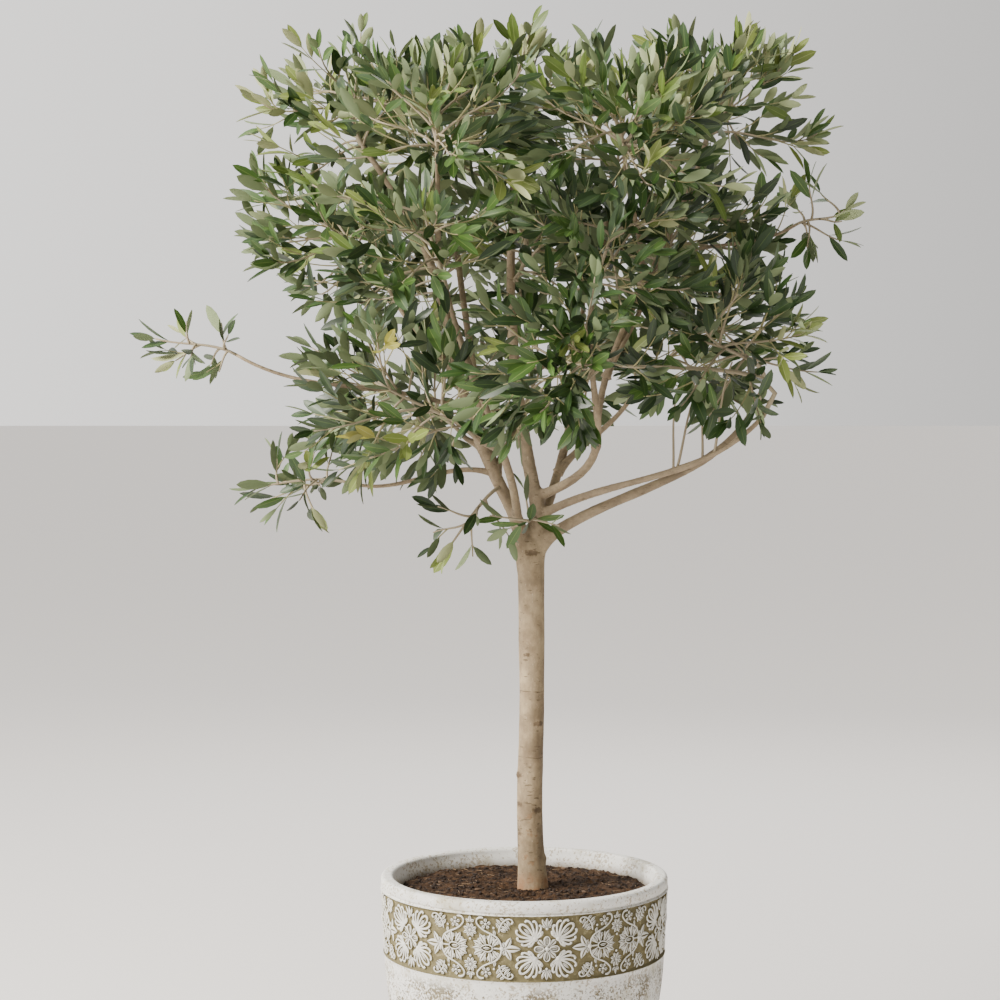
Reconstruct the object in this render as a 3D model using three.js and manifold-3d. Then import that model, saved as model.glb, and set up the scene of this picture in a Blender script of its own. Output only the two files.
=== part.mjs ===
// Potted olive tree: a standard olive with a clear stem and a broad open crown,
// planted in a round pot that has a decorated band under its rim.
// Millimetres, +Z up. The origin is the centre of the pot's flat underside,
// +X is the right of the tree and -Y is its front.

import * as THREE from "three";
import { mergeVertices } from "three/addons/utils/BufferGeometryUtils.js";
import Module from "manifold-3d";

const wasm = await Module();
wasm.setup();

// Driving dimensions of the pot
const POT_HEIGHT = 340;
const LIP_RADIUS = 195;
const LIP_HEIGHT = 14;
const LIP_WIDTH = 17;
const LIP_ROUNDING = 4;
const STEP_DEPTH = 2.5; // the shadow line between the lip and the band
const STEP_HEIGHT = 3;
const BAND_TOP_RADIUS = 196;
const BAND_BOTTOM_RADIUS = 192;
const BAND_HEIGHT = 87;
const BAND_PROUD = 1.5; // how far the band stands out of the body below it
const FOOT_RADIUS = 138;
const FOOT_CHAMFER = 3;
const BODY_FULLNESS = 1.7; // higher keeps the body straight for longer above its foot
const WALL = 20;
const FLOOR = 20;
const DRAIN_HOLES = 3;
const DRAIN_RADIUS = 7;
const DRAIN_RING_RADIUS = 62;
const POT_SIDES = 36;

// Driving dimensions of the soil
const SOIL_EDGE_RADIUS = 170;
const SOIL_EDGE_HEIGHT = 318;
const SOIL_HEIGHT = 322;
const SOIL_CROWN_RADIUS = 95; // the flat middle that the trunk stands on

// Driving dimensions of the trunk, its fork and the crown
const CLEARANCE = 0.3; // between pieces that touch
const FORK_HEIGHT = 770;
const TRUNK_RADIUS = 17.3;
const FLARE_WIDTH = 4.2;
const FLARE_LENGTH = 38;
const HEAD_SWELL = 1.6; // the trunk thickens again below the fork
const HEAD_SWELL_LENGTH = 60;
const ENTRY_DEPTH = 0.2; // how deep in its mass a bough ends, as a share of the mass's size
const CROWN_DEPTH = 0.98; // front to back, as a share of the width
const FULLNESS = 2.5; // of a mass's space: 2 is an ellipsoid, and higher fills its corners
const UNEVENNESS = 18; // how far a mass sits from its even place in the crown
const LEAF_LENGTH = 104;
const LEAF_WIDTH = 33;
const LEAF_THICKNESS = 2;
const LEAF_ROOT = 2.6; // how far a leaf is sunk in its twig
const LEAF_PAIRS = 3; // on each twig
const OPPOSITE = 2; // faces of the twig between the two leaves of a pair
const TIP_SPREAD = 30; // degrees between the last leaves and their twig
const BACK_SPREAD = 56;
const SPREAD_CHANGE = 18; // degrees from leaf to leaf
const LEAF_PAIR_SPACING = 33;
const TWIG_TIP_RADIUS = 1.1;
const STEM_TIP_RADIUS = 2;
const STEM_TRIES = 60;
const STEM_ASIDE = 0.35; // how far aside of the middle a stem may end, as a share of the size
const SEED = 17;
const SEED_STEP = 7919; // from mass to mass
const TWIG_SAMPLES = 9; // places where a twig is tested
const STEEPEST_SHOOT = 40; // degrees between a shoot and its stem
const WIDEST_SHOOT = 115;
const FIRST_SHOOT_AT = 0.12; // share of the stem's length
const LAST_SHOOT_AT = 0.8;
const SHOOT_TRIES = 40;
const CLOSEST_TIPS = 45;
const SHORTEST_SHOOT = 18;
const LONGEST_SHOOT = 110;
const ROOM_STEP = 4;
const TIP_ROOM = 0.32; // room kept beyond a shoot's tip, as a share of a leaf's length
// Where a leaf has too little room it is turned by some degrees or made smaller
const LEAF_TURNS = [0, 22, -18];
const LEAF_SHARES = [1, 0.8];
const GOLDEN_ANGLE = 2.399963; // radians
const PLASTIC_SHARE = 0.7548776662; // its multiples and those of its square spread evenly
const SHOOT_RADIUS = 1.7;
const SPACE_MARGIN = 1.2; // kept clear of the next mass's space
const LIMB_MARGIN = 3.5; // kept clear of trunk and boughs

const UP = new THREE.Vector3(0, 0, 1);
const vector = (x, y, z) => new THREE.Vector3(x, y, z);
const radians = THREE.MathUtils.degToRad;
const mix = THREE.MathUtils.lerp;

// Colours of the real surfaces
const finish = (color, roughness) => new THREE.MeshStandardMaterial({ color, roughness, metalness: 0 });
const POT_STONE = finish(0xcfccc2, 0.85);
const SOIL_BROWN = finish(0x3b2a22, 0.95);
const BARK = finish(0x9c8f7f, 0.8);
const FOLIAGE = finish(0x4d6041, 0.55);

// Solids: closed meshes joined and cut exactly

function toSolid(geometry) {
  const bare = geometry.index ? geometry.toNonIndexed() : geometry.clone();
  bare.deleteAttribute("normal");
  bare.deleteAttribute("uv");
  const merged = mergeVertices(bare, 1e-4);
  const corners = merged.index.array;
  const kept = [];
  for (let i = 0; i < corners.length; i += 3) {
    const [a, b, c] = [corners[i], corners[i + 1], corners[i + 2]];
    if (a !== b && b !== c && c !== a) kept.push(a, b, c);
  }
  return new wasm.Manifold(
    new wasm.Mesh({
      numProp: 3,
      vertProperties: Float32Array.from(merged.attributes.position.array),
      triVerts: Uint32Array.from(kept),
    }),
  );
}

function toGeometry(solid) {
  const mesh = solid.getMesh();
  const geometry = new THREE.BufferGeometry();
  geometry.setAttribute("position", new THREE.BufferAttribute(Float32Array.from(mesh.vertProperties), 3));
  geometry.setIndex(new THREE.BufferAttribute(Uint32Array.from(mesh.triVerts), 1));
  geometry.computeVertexNormals();
  return geometry;
}

const tree = new THREE.Group();

function addNode(name, solid, material) {
  const mesh = new THREE.Mesh(toGeometry(solid), material);
  mesh.name = name;
  tree.add(mesh);
}

// The pot: one turned shell with a rounded lip, a proud band and a flat underside

const STEP_TOP = POT_HEIGHT - LIP_HEIGHT;
const BAND_TOP = STEP_TOP - STEP_HEIGHT;
const BAND_BOTTOM = BAND_TOP - BAND_HEIGHT;
const SHOULDER_RADIUS = BAND_BOTTOM_RADIUS - BAND_PROUD;

function bodyRadius(height) {
  const below = Math.max(0, 1 - height / BAND_BOTTOM);
  return SHOULDER_RADIUS - (SHOULDER_RADIUS - FOOT_RADIUS) * below ** BODY_FULLNESS;
}

function roundedCorner(radius, height, fromDegrees, toDegrees) {
  return [0, 1].map((share) => {
    const angle = radians(mix(fromDegrees, toDegrees, share));
    return new THREE.Vector2(
      radius + LIP_ROUNDING * Math.cos(angle),
      height + LIP_ROUNDING * Math.sin(angle),
    );
  });
}

function bodyOutline(firstHeight, lastHeight, steps, inset) {
  return Array.from({ length: steps + 1 }, (_, i) => {
    const height = mix(firstHeight, lastHeight, i / steps);
    return new THREE.Vector2(bodyRadius(height) - inset, height);
  });
}

const lipTop = POT_HEIGHT - LIP_ROUNDING;
const potOutline = [
  new THREE.Vector2(0, 0),
  new THREE.Vector2(FOOT_RADIUS - FOOT_CHAMFER, 0),
  ...bodyOutline(FOOT_CHAMFER, BAND_BOTTOM - BAND_PROUD, 4, 0),
  new THREE.Vector2(BAND_BOTTOM_RADIUS, BAND_BOTTOM),
  new THREE.Vector2(BAND_TOP_RADIUS, BAND_TOP),
  new THREE.Vector2(LIP_RADIUS - STEP_DEPTH, BAND_TOP),
  new THREE.Vector2(LIP_RADIUS - STEP_DEPTH, STEP_TOP),
  new THREE.Vector2(LIP_RADIUS, STEP_TOP),
  ...roundedCorner(LIP_RADIUS - LIP_ROUNDING, lipTop, 0, 90),
  ...roundedCorner(LIP_RADIUS - LIP_WIDTH + LIP_ROUNDING, lipTop, 90, 180),
  new THREE.Vector2(SOIL_EDGE_RADIUS, SOIL_EDGE_HEIGHT),
  ...bodyOutline(BAND_BOTTOM, FLOOR, 2, WALL),
  new THREE.Vector2(0, FLOOR),
];

// A lathe turns about Y, so the turned shape is stood up onto Z.
const turned = (outline, sides) => toSolid(new THREE.LatheGeometry(outline, sides).rotateX(Math.PI / 2));

let pot = turned(potOutline, POT_SIDES);
for (let i = 0; i < DRAIN_HOLES; i += 1) {
  const angle = (2 * Math.PI * i) / DRAIN_HOLES;
  const drain = new THREE.CylinderGeometry(DRAIN_RADIUS, DRAIN_RADIUS, 3 * FLOOR, 8).rotateX(Math.PI / 2);
  drain.translate(DRAIN_RING_RADIUS * Math.cos(angle), DRAIN_RING_RADIUS * Math.sin(angle), 0);
  pot = pot.subtract(toSolid(drain));
}
addNode("pot", pot, POT_STONE);

// The soil fills the pot and is raised a little round the trunk

const soilOutline = [
  new THREE.Vector2(0, FLOOR + CLEARANCE),
  ...bodyOutline(FLOOR + CLEARANCE, BAND_BOTTOM, 2, WALL + CLEARANCE),
  new THREE.Vector2(SOIL_EDGE_RADIUS - CLEARANCE, SOIL_EDGE_HEIGHT),
  new THREE.Vector2(SOIL_CROWN_RADIUS, SOIL_HEIGHT),
  new THREE.Vector2(0, SOIL_HEIGHT),
];
addNode("soil", turned(soilOutline, POT_SIDES), SOIL_BROWN);

// Limbs: round tapering tubes along smooth curves, flat cut at both ends

class Limb {
  constructor(curve, radiusAt, sides, steps) {
    const frames = curve.computeFrenetFrames(steps, false);
    this.sides = sides;
    this.rings = frames.tangents.map((direction, i) => ({
      point: curve.getPointAt(i / steps),
      direction,
      normal: frames.normals[i],
      binormal: frames.binormals[i],
      radius: radiusAt(i / steps),
    }));
    this.length = curve.getLength();
  }

  // The solid's own middle line, which runs straight from ring to ring
  at(share) {
    const steps = this.rings.length - 1;
    const ring = Math.min(steps - 1, Math.floor(share * steps));
    const [here, next] = [this.rings[ring], this.rings[ring + 1]];
    const onward = share * steps - ring;
    return {
      point: here.point.clone().lerp(next.point, onward),
      direction: here.direction.clone().lerp(next.direction, onward).normalize(),
      radius: mix(here.radius, next.radius, onward),
      nearest: onward < 0.5 ? here : next,
    };
  }

  // The limb's solid, or with `grown` the fatter shape that cuts a seat round it
  solid(grown = 0) {
    const steps = this.rings.length - 1;
    const tube = new THREE.CylinderGeometry(1, 1, 1, this.sides, steps);
    const place = tube.attributes.position;
    for (let i = 0; i < place.count; i += 1) {
      const ring = this.rings[Math.round((0.5 + place.getY(i)) * steps)];
      const point = ring.point
        .clone()
        .addScaledVector(ring.binormal, place.getX(i) * (ring.radius + grown))
        .addScaledVector(ring.normal, place.getZ(i) * (ring.radius + grown));
      place.setXYZ(i, point.x, point.y, point.z);
    }
    return toSolid(tube);
  }
}

// A limb that leaves along one direction and arrives along another
function bend(start, leaving, end, arriving, slack = 0.36) {
  const reach = start.distanceTo(end) * slack;
  return new THREE.CubicBezierCurve3(
    start,
    start.clone().addScaledVector(leaving.clone().normalize(), reach),
    end.clone().addScaledVector(arriving.clone().normalize(), -reach),
    end,
  );
}

const taper = (from, to) => (along) => mix(from, to, along);

// The trunk stands on the soil, flares at its foot, and forks at its head into
// a stout right arm with a shoulder and a thinner left arm.

const TRUNK_BASE = SOIL_HEIGHT + CLEARANCE;
const BURIED = 15; // the tube starts this far down, and is then cut flat at the soil
const trunkStart = TRUNK_BASE - BURIED;
const trunkCurve = new THREE.CatmullRomCurve3([
  vector(12.5, 0, trunkStart),
  vector(7.5, 0, mix(TRUNK_BASE, FORK_HEIGHT, 0.25)),
  vector(10.5, 1, mix(TRUNK_BASE, FORK_HEIGHT, 0.55)),
  vector(9.5, 0, mix(TRUNK_BASE, FORK_HEIGHT, 0.8)),
  vector(9, 0, FORK_HEIGHT),
]);

function trunkRadius(along) {
  const height = along * (FORK_HEIGHT - trunkStart) - BURIED;
  const toHead = (1 - along) * (FORK_HEIGHT - trunkStart);
  const flare = FLARE_WIDTH * Math.exp(-height / FLARE_LENGTH);
  const swell = HEAD_SWELL * Math.exp(-toHead / HEAD_SWELL_LENGTH);
  return TRUNK_RADIUS + flare + swell;
}

const fork = {
  trunk: new Limb(trunkCurve, trunkRadius, 12, 9),
  right_arm: new Limb(
    new THREE.CatmullRomCurve3([vector(9, 0, 756), vector(17, 2, 800), vector(18, 6, 838), vector(12, 10, 868)]),
    taper(17.5, 9.5),
    9,
    5,
  ),
  left_arm: new Limb(
    bend(vector(4, 0, 752), vector(-0.2, 0, 1), vector(-20, -10, 843), vector(-0.55, -0.1, 1)),
    taper(14, 9),
    8,
    3,
  ),
  shoulder: new Limb(
    bend(vector(14, 0, 778), vector(0.6, 0, 1), vector(46, -3, 808), vector(1, 0, 0.62)),
    taper(15, 8.2),
    8,
    2,
  ),
};
const forkSolid = (grown = 0) =>
  Object.values(fork)
    .map((limb) => limb.solid(grown))
    .reduce((sum, solid) => sum.add(solid));
const forkSeat = forkSolid(CLEARANCE);
const belowSoil = new THREE.BoxGeometry(200, 200, 100).translate(0, 0, TRUNK_BASE - 50);
addNode("trunk", forkSolid().subtract(toSolid(belowSoil)), BARK);

// The foliage masses: each keeps to its own space, a full-cornered ellipsoid cut off
// where the next mass's space begins. Three tiers of them ring the crown.

// Evenly spread points on a unit ball, which turn with the mass's number
function spreadPoint(i, number) {
  const height = 1 - 2 * ((0.5 + i * PLASTIC_SHARE) % 1);
  const angle = number * GOLDEN_ANGLE + 2 * Math.PI * ((i * PLASTIC_SHARE ** 2) % 1);
  const ring = Math.sqrt(1 - height ** 2);
  return vector(ring * Math.cos(angle), ring * Math.sin(angle), height);
}

const masses = [];

function addMass(name, centre, size, habit = {}) {
  masses.push({
    name,
    centre,
    size: vector(...size),
    pull: (size[0] + size[1] + size[2]) / 3,
    shoots: 4,
    leafShare: 1, // leaf length as a share of LEAF_LENGTH
    reach: 0.15, // how far past the middle the stem runs, as a share of the size
    lift: 0.15, // how far above the middle it ends
    rise: 0.25, // how much its twigs turn up
    ...habit,
  });
}

// One ring of masses. The shift moves it to the right, the dome lowers the masses
// at the front and back, and the skirt raises those on the right.
function addTier({ name, sides, ring, height, size, turn, shift, dome, skirt, habit }) {
  sides.forEach((side, i) => {
    const angle = radians(turn + (360 / sides.length) * i);
    const centre = vector(
      shift + ring * Math.cos(angle),
      ring * Math.sin(angle) * CROWN_DEPTH,
      height - dome * Math.abs(Math.sin(angle)) + skirt * Math.cos(angle),
    );
    centre.addScaledVector(spreadPoint(masses.length, i), UNEVENNESS);
    addMass(`${name}_${side}`, centre, size, habit);
  });
}

const SIDES_FROM_RIGHT = ["right", "back_right", "back_left", "left", "front_left", "front_right"];
const SIDES_FROM_RIGHT_BACK = ["right_back", "back", "left_back", "left_front", "front", "right_front"];

addTier({
  name: "top",
  sides: SIDES_FROM_RIGHT,
  ring: 238,
  height: 1366,
  size: [174, 162, 142],
  turn: 0,
  shift: 0,
  dome: 62,
  skirt: 0,
  habit: { lift: 0.3, rise: 0.5 },
});
addTier({
  name: "middle",
  sides: SIDES_FROM_RIGHT,
  ring: 228,
  height: 1200,
  size: [166, 170, 150],
  turn: 0,
  shift: -14,
  dome: 6,
  skirt: 0,
  habit: { rise: 0.3 },
});
addTier({
  name: "low",
  sides: SIDES_FROM_RIGHT_BACK,
  ring: 226,
  height: 1034,
  size: [168, 156, 142],
  turn: 30,
  shift: 36,
  dome: 0,
  skirt: 38,
  habit: { lift: 0, rise: 0.12 },
});
addMass("top_centre", vector(-12, 0, 1388), [160, 156, 124], { shoots: 3, lift: 0.3, rise: 0.5 });
addMass("heart", vector(0, 0, 1195), [160, 156, 140], { shoots: 3 });

// Sprays that stand out of the crown have leaves of about their real size
const spray = { shoots: 3, leafShare: 0.62, reach: 0.55, lift: 0, pull: 105 };
addMass("stray_left", vector(-440, -30, 1058), [100, 66, 54], { ...spray, rise: 0.05 });
addMass("drooping_left", vector(-290, -62, 870), [118, 76, 66], { ...spray, shoots: 4, rise: -0.1 });
addMass("hanging", vector(-82, -62, 806), [72, 62, 60], { ...spray, rise: -0.1 });
addMass("fork_sprig", vector(8, -72, 824), [60, 54, 66], { ...spray, rise: 0 });
addMass("right_sprig", vector(392, -28, 1226), [66, 62, 62], { ...spray, rise: 0.2 });

const massNamed = Object.fromEntries(masses.map((mass) => [mass.name, mass]));

// How far a point lies inside a mass's space: inside its full-cornered ellipsoid and
// on its own side of the plane that parts it from each other mass.
function depthInside(mass, point) {
  const away = point.clone().sub(mass.centre);
  const shares = away.clone().divide(mass.size).toArray();
  const share = shares.reduce((sum, part) => sum + Math.abs(part) ** FULLNESS, 0) ** (1 / FULLNESS);
  let depth = (1 - share) * Math.min(mass.size.x, mass.size.y, mass.size.z);
  const own = away.lengthSq() - mass.pull ** 2;
  for (const other of masses) {
    if (other === mass) continue;
    const theirs = point.distanceToSquared(other.centre) - other.pull ** 2;
    depth = Math.min(depth, (theirs - own) / (2 * mass.centre.distanceTo(other.centre)));
  }
  return depth;
}

// The boughs: each leaves the fork or another bough, rises, and ends where it
// enters its mass. `at` is how far along its parent it leaves, and `leave` and
// `arrive` are its first and last directions.

const limbs = { ...fork };

function directionTo(from, to) {
  return to.clone().sub(from).normalize();
}

function entryPoint(mass, from) {
  for (let share = 0; share < 1; share += 0.01) {
    const point = from.clone().lerp(mass.centre, share);
    if (depthInside(mass, point) > ENTRY_DEPTH * mass.pull) return point;
  }
  return mass.centre.clone();
}

function addBough({ name, from, at, to, end, radius, leave, arrive, slack = 0.36, sides = 5, steps = 4 }) {
  const parent = limbs[from];
  const { point: origin, direction: along } = parent.at(at);
  const faceToFace = at === 1;
  if (faceToFace) origin.addScaledVector(along, CLEARANCE);
  const target = end ? vector(...end) : entryPoint(massNamed[to], origin);
  const towards = directionTo(origin, target);
  const leaving = faceToFace ? along : leave ? vector(...leave) : along.clone().multiplyScalar(0.55).add(towards);
  const arriving = arrive ? vector(...arrive) : towards.clone().addScaledVector(UP, 0.35);
  const limb = new Limb(bend(origin, leaving, target, arriving, slack), taper(radius[0], radius[1]), sides, steps);
  const seat = from in fork ? forkSeat : parent.solid(CLEARANCE);
  limbs[name] = limb;
  massNamed[to].bough = limb;
  addNode(`bough_${name}`, faceToFace ? limb.solid() : limb.solid().subtract(seat), BARK);
}

// Main limbs, then the side boughs that leave them, thicker ones first
const BOUGHS = [
  { name: "leader", from: "right_arm", at: 1, to: "top_centre", radius: [9.5, 4.4], arrive: [0.1, 0, 1] },
  { name: "left", from: "left_arm", at: 1, to: "top_left", radius: [9, 4.2], arrive: [-0.75, 0, 1], slack: 0.5 },
  {
    name: "low_right",
    from: "shoulder",
    at: 1,
    to: "low_right_back",
    end: [318, 40, 980],
    radius: [8.2, 4],
    arrive: [0.5, 0.1, 1],
  },
  {
    name: "upper_right",
    from: "right_arm",
    at: 0.62,
    to: "low_right_front",
    end: [314, -70, 962],
    radius: [6.2, 3.6],
    leave: [1, -0.35, 0.6],
    arrive: [0.7, -0.1, 0.8],
  },
  {
    name: "mid_right",
    from: "right_arm",
    at: 0.86,
    to: "middle_front_right",
    radius: [6.6, 3.6],
    leave: [1, -0.25, 0.35],
    arrive: [0.1, -0.4, 1],
    slack: 0.5,
  },
  { name: "upright_right", from: "mid_right", at: 0.36, to: "top_right", radius: [5.6, 3.6], leave: [0, 0.2, 1] },
  { name: "back_right", from: "right_arm", at: 0.42, to: "top_back_right", radius: [7.6, 3.8], leave: [0.4, 1, 0.9] },
  { name: "back_left", from: "left_arm", at: 0.6, to: "top_back_left", radius: [6.8, 3.8], leave: [-0.4, 1, 0.7] },
  { name: "front", from: "left_arm", at: 0.72, to: "middle_front_left", radius: [6.4, 3.8], leave: [0, -1, 0.9] },
  { name: "top_front_left", from: "left", at: 0.55, to: "top_front_left", radius: [4.6, 3] },
  { name: "top_front_right", from: "upright_right", at: 0.5, to: "top_front_right", radius: [4, 2.8] },
  { name: "middle_right", from: "upright_right", at: 0.22, to: "middle_right", radius: [4.4, 3] },
  { name: "middle_back_right", from: "back_right", at: 0.42, to: "middle_back_right", radius: [4.6, 3] },
  { name: "middle_back_left", from: "back_left", at: 0.42, to: "middle_back_left", radius: [4.6, 3] },
  { name: "middle_left", from: "left", at: 0.34, to: "middle_left", radius: [5, 3] },
  { name: "low_back", from: "back_right", at: 0.2, to: "low_back", radius: [5, 3] },
  { name: "low_left_back", from: "back_left", at: 0.2, to: "low_left_back", radius: [4.8, 3] },
  { name: "low_left_front", from: "left", at: 0.16, to: "low_left_front", radius: [5.2, 3] },
  { name: "low_front", from: "front", at: 0.34, to: "low_front", radius: [4.4, 3] },
  { name: "stray_left", from: "left", at: 0.26, to: "stray_left", radius: [3.6, 2.2], leave: [-1, 0.15, 0.5] },
  { name: "drooping_left", from: "left", at: 0.09, to: "drooping_left", radius: [3.8, 2.2] },
  { name: "right_sprig", from: "upright_right", at: 0.6, to: "right_sprig", radius: [2.8, 2] },
];
const MAIN_BOUGHS = 9;
BOUGHS.forEach((bough, i) => addBough({ ...bough, ...(i < MAIN_BOUGHS ? { sides: 7, steps: 6 } : {}) }));

// The foliage: in each mass a stem grows on from the bough, or out of a limb's
// flank. Shoots leave it in opposite pairs and run as far as the mass's space
// lets them, and all of these twigs carry pairs of leaves from their tips back.
// What would leave the space or touch a limb is left out.

function seededRandom(seed) {
  let state = seed >>> 0;
  return () => {
    state = (Math.imul(state, 1664525) + 1013904223) >>> 0;
    return state / 2 ** 32;
  };
}

const flanks = {
  heart: { from: "leader", at: 0.6, leave: [0.8, -0.5, 0.5], radius: 3.4 },
  hanging: { from: "left", at: 0.05, leave: [-0.3, -1, 0.1], radius: 3 },
  fork_sprig: { from: "right_arm", at: 0.6, leave: [-0.4, -1, 0.1], radius: 2.8 },
};

function distanceToLimb(limb, point) {
  return Math.min(
    ...limb.rings.slice(1).map((ring, i) => {
      const stretch = new THREE.Line3(limb.rings[i].point, ring.point);
      const share = stretch.closestPointToPointParameter(point, true);
      return stretch.at(share, vector()).distanceTo(point) - mix(limb.rings[i].radius, ring.radius, share);
    }),
  );
}

function isClear(point, radius, except = []) {
  return Object.values(limbs).every(
    (limb) => except.includes(limb) || distanceToLimb(limb, point) > radius + LIMB_MARGIN,
  );
}

function samples(limb, count) {
  return Array.from({ length: count + 1 }, (_, i) => limb.at(i / count).point);
}

// The stem runs to the first place near the mass's middle that it can reach
// without touching a limb.
function makeStem(mass, number) {
  const flank = flanks[mass.name];
  const parent = flank ? limbs[flank.from] : mass.bough;
  const { point: start, direction, radius: thick } = parent.at(flank ? flank.at : 1);
  const along = flank ? vector(...flank.leave).normalize() : direction;
  const radius = flank ? flank.radius : thick;
  if (!flank) start.addScaledVector(along, CLEARANCE);
  for (let i = 0; i < STEM_TRIES; i += 1) {
    const aside = spreadPoint(i, number).multiply(mass.size).multiplyScalar(i === 0 ? 0 : STEM_ASIDE);
    const beyond = directionTo(start, mass.centre).multiply(mass.size).multiplyScalar(mass.reach);
    const end = mass.centre.clone().add(beyond).addScaledVector(UP, mass.lift * mass.size.z).add(aside);
    const curve = bend(start, along, end, directionTo(start, end).addScaledVector(UP, mass.rise));
    const stem = new Limb(curve, taper(radius, STEM_TIP_RADIUS), 4, 3);
    const free = samples(stem, TWIG_SAMPLES).slice(flank ? 3 : 1);
    if (free.every((point) => isClear(point, radius, [parent]))) return stem;
  }
  throw new Error(`${mass.name} has no room for its stem`);
}

const stems = masses.map(makeStem);
stems.forEach((stem, i) => {
  limbs[`stem of ${masses[i].name}`] = stem;
});

function leafSolid(root, direction, face, length, width) {
  const across = direction.clone().cross(face).normalize();
  const upper = across.clone().cross(direction);
  const leaf = new THREE.OctahedronGeometry(1)
    .scale(width / 2, length / 2, LEAF_THICKNESS / 2)
    .translate(0, length / 2, 0)
    .applyMatrix4(new THREE.Matrix4().makeBasis(across, direction, upper).setPosition(root));
  return toSolid(leaf);
}

function leafFits(mass, stem, root, direction, face, length, width) {
  const across = direction.clone().cross(face).setLength(width / 2);
  const middle = root.clone().addScaledVector(direction, length / 2);
  const outline = [
    root.clone().addScaledVector(direction, length),
    middle.clone().add(across),
    middle.clone().sub(across),
    root,
  ];
  const spine = [0.25, 0.5, 0.75, 1].map((share) => root.clone().addScaledVector(direction, length * share));
  return (
    outline.every((point) => depthInside(mass, point) > SPACE_MARGIN) &&
    spine.every((point) => isClear(point, width * 0.3, [stem]))
  );
}

// Pairs of leaves from a twig's tip back, each pair turned from the last and
// spread wider. A leaf is turned or shorter where there is less room for it.
function leavesOn(twig, mass, stem, random) {
  const leaves = [];
  for (let pair = 0; pair < LEAF_PAIRS; pair += 1) {
    const back = (pair + 0.1) * LEAF_PAIR_SPACING * mass.leafShare;
    if (back > twig.length * 0.8) break;
    const { point, direction: along, nearest } = twig.at(1 - back / twig.length);
    const root = point.clone().addScaledVector(along, -LEAF_ROOT);
    for (const side of [0, 1]) {
      const angle = Math.PI / twig.sides + ((2 * Math.PI) / twig.sides) * (side * OPPOSITE + pair);
      const out = nearest.normal
        .clone()
        .multiplyScalar(Math.cos(angle))
        .addScaledVector(nearest.binormal, Math.sin(angle));
      const size = mass.leafShare * mix(0.9, 1.08, random());
      const spread = mix(TIP_SPREAD, BACK_SPREAD, pair / (LEAF_PAIRS - 1)) + (random() - 0.5) * SPREAD_CHANGE;
      const tries = LEAF_SHARES.flatMap((share) => LEAF_TURNS.map((turned) => [share, turned]));
      const shapes = tries.map(([share, turned]) => {
        const direction = along
          .clone()
          .multiplyScalar(Math.cos(radians(spread + turned)))
          .addScaledVector(out, Math.sin(radians(spread + turned)))
          .normalize();
        const face = along.clone().addScaledVector(UP, 0.5).addScaledVector(direction, -direction.dot(along));
        return [root, direction, face, LEAF_LENGTH * size * share, LEAF_WIDTH * size * share];
      });
      const shape = shapes.find((tried) => leafFits(mass, stem, ...tried));
      if (shape) leaves.push(leafSolid(...shape));
    }
  }
  return leaves;
}

// How far a twig can run from a point before its tip comes too near the edge of
// the mass's space
function roomAlong(mass, from, direction) {
  const edge = LEAF_LENGTH * mass.leafShare * TIP_ROOM;
  let room = 0;
  while (room < LONGEST_SHOOT) {
    if (depthInside(mass, from.clone().addScaledVector(direction, room + ROOM_STEP)) < edge) break;
    room += ROOM_STEP;
  }
  return room;
}

// Shoots that could leave a stem, turned round it and spread from steep to wide
function possibleShoots(mass, stem, random) {
  const shoots = [];
  for (let i = 0; i < SHOOT_TRIES; i += 1) {
    const origin = stem.at(mix(FIRST_SHOOT_AT, LAST_SHOOT_AT, random()));
    const angle = i * GOLDEN_ANGLE;
    const spread = radians(mix(STEEPEST_SHOOT, WIDEST_SHOOT, random()));
    const direction = origin.direction
      .clone()
      .multiplyScalar(Math.cos(spread))
      .addScaledVector(origin.nearest.normal, Math.cos(angle) * Math.sin(spread))
      .addScaledVector(origin.nearest.binormal, Math.sin(angle) * Math.sin(spread));
    const length = roomAlong(mass, origin.point, direction);
    if (length < SHORTEST_SHOOT) continue;
    const end = origin.point.clone().addScaledVector(direction, length);
    const leaving = direction.clone().addScaledVector(origin.direction, 0.4);
    const shoot = new Limb(bend(origin.point, leaving, end, direction), taper(SHOOT_RADIUS, TWIG_TIP_RADIUS), 3, 2);
    const fits = samples(shoot, TWIG_SAMPLES).every(
      (point) => depthInside(mass, point) > SPACE_MARGIN + SHOOT_RADIUS && isClear(point, SHOOT_RADIUS, [stem]),
    );
    if (fits) shoots.push(shoot);
  }
  return shoots;
}

// Of these, the first reaches farthest from the trunk, and the next ones are those
// whose tips are farthest from the others', so that they fill the mass evenly.
function branch(mass, stem, random) {
  const possible = possibleShoots(mass, stem, random);
  const tips = [stem.at(1).point];
  const chosen = [];
  while (chosen.length < mass.shoots && possible.length > 0) {
    const scores = possible.map((shoot) => {
      const { point } = shoot.at(1);
      if (chosen.length === 0) return Math.hypot(point.x, point.y / CROWN_DEPTH);
      return Math.min(...tips.map((tip) => point.distanceTo(tip)));
    });
    const best = scores.indexOf(Math.max(...scores));
    if (scores[best] < CLOSEST_TIPS * mass.leafShare) break;
    const [shoot] = possible.splice(best, 1);
    chosen.push(shoot);
    tips.push(shoot.at(1).point);
  }
  return chosen;
}

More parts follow.
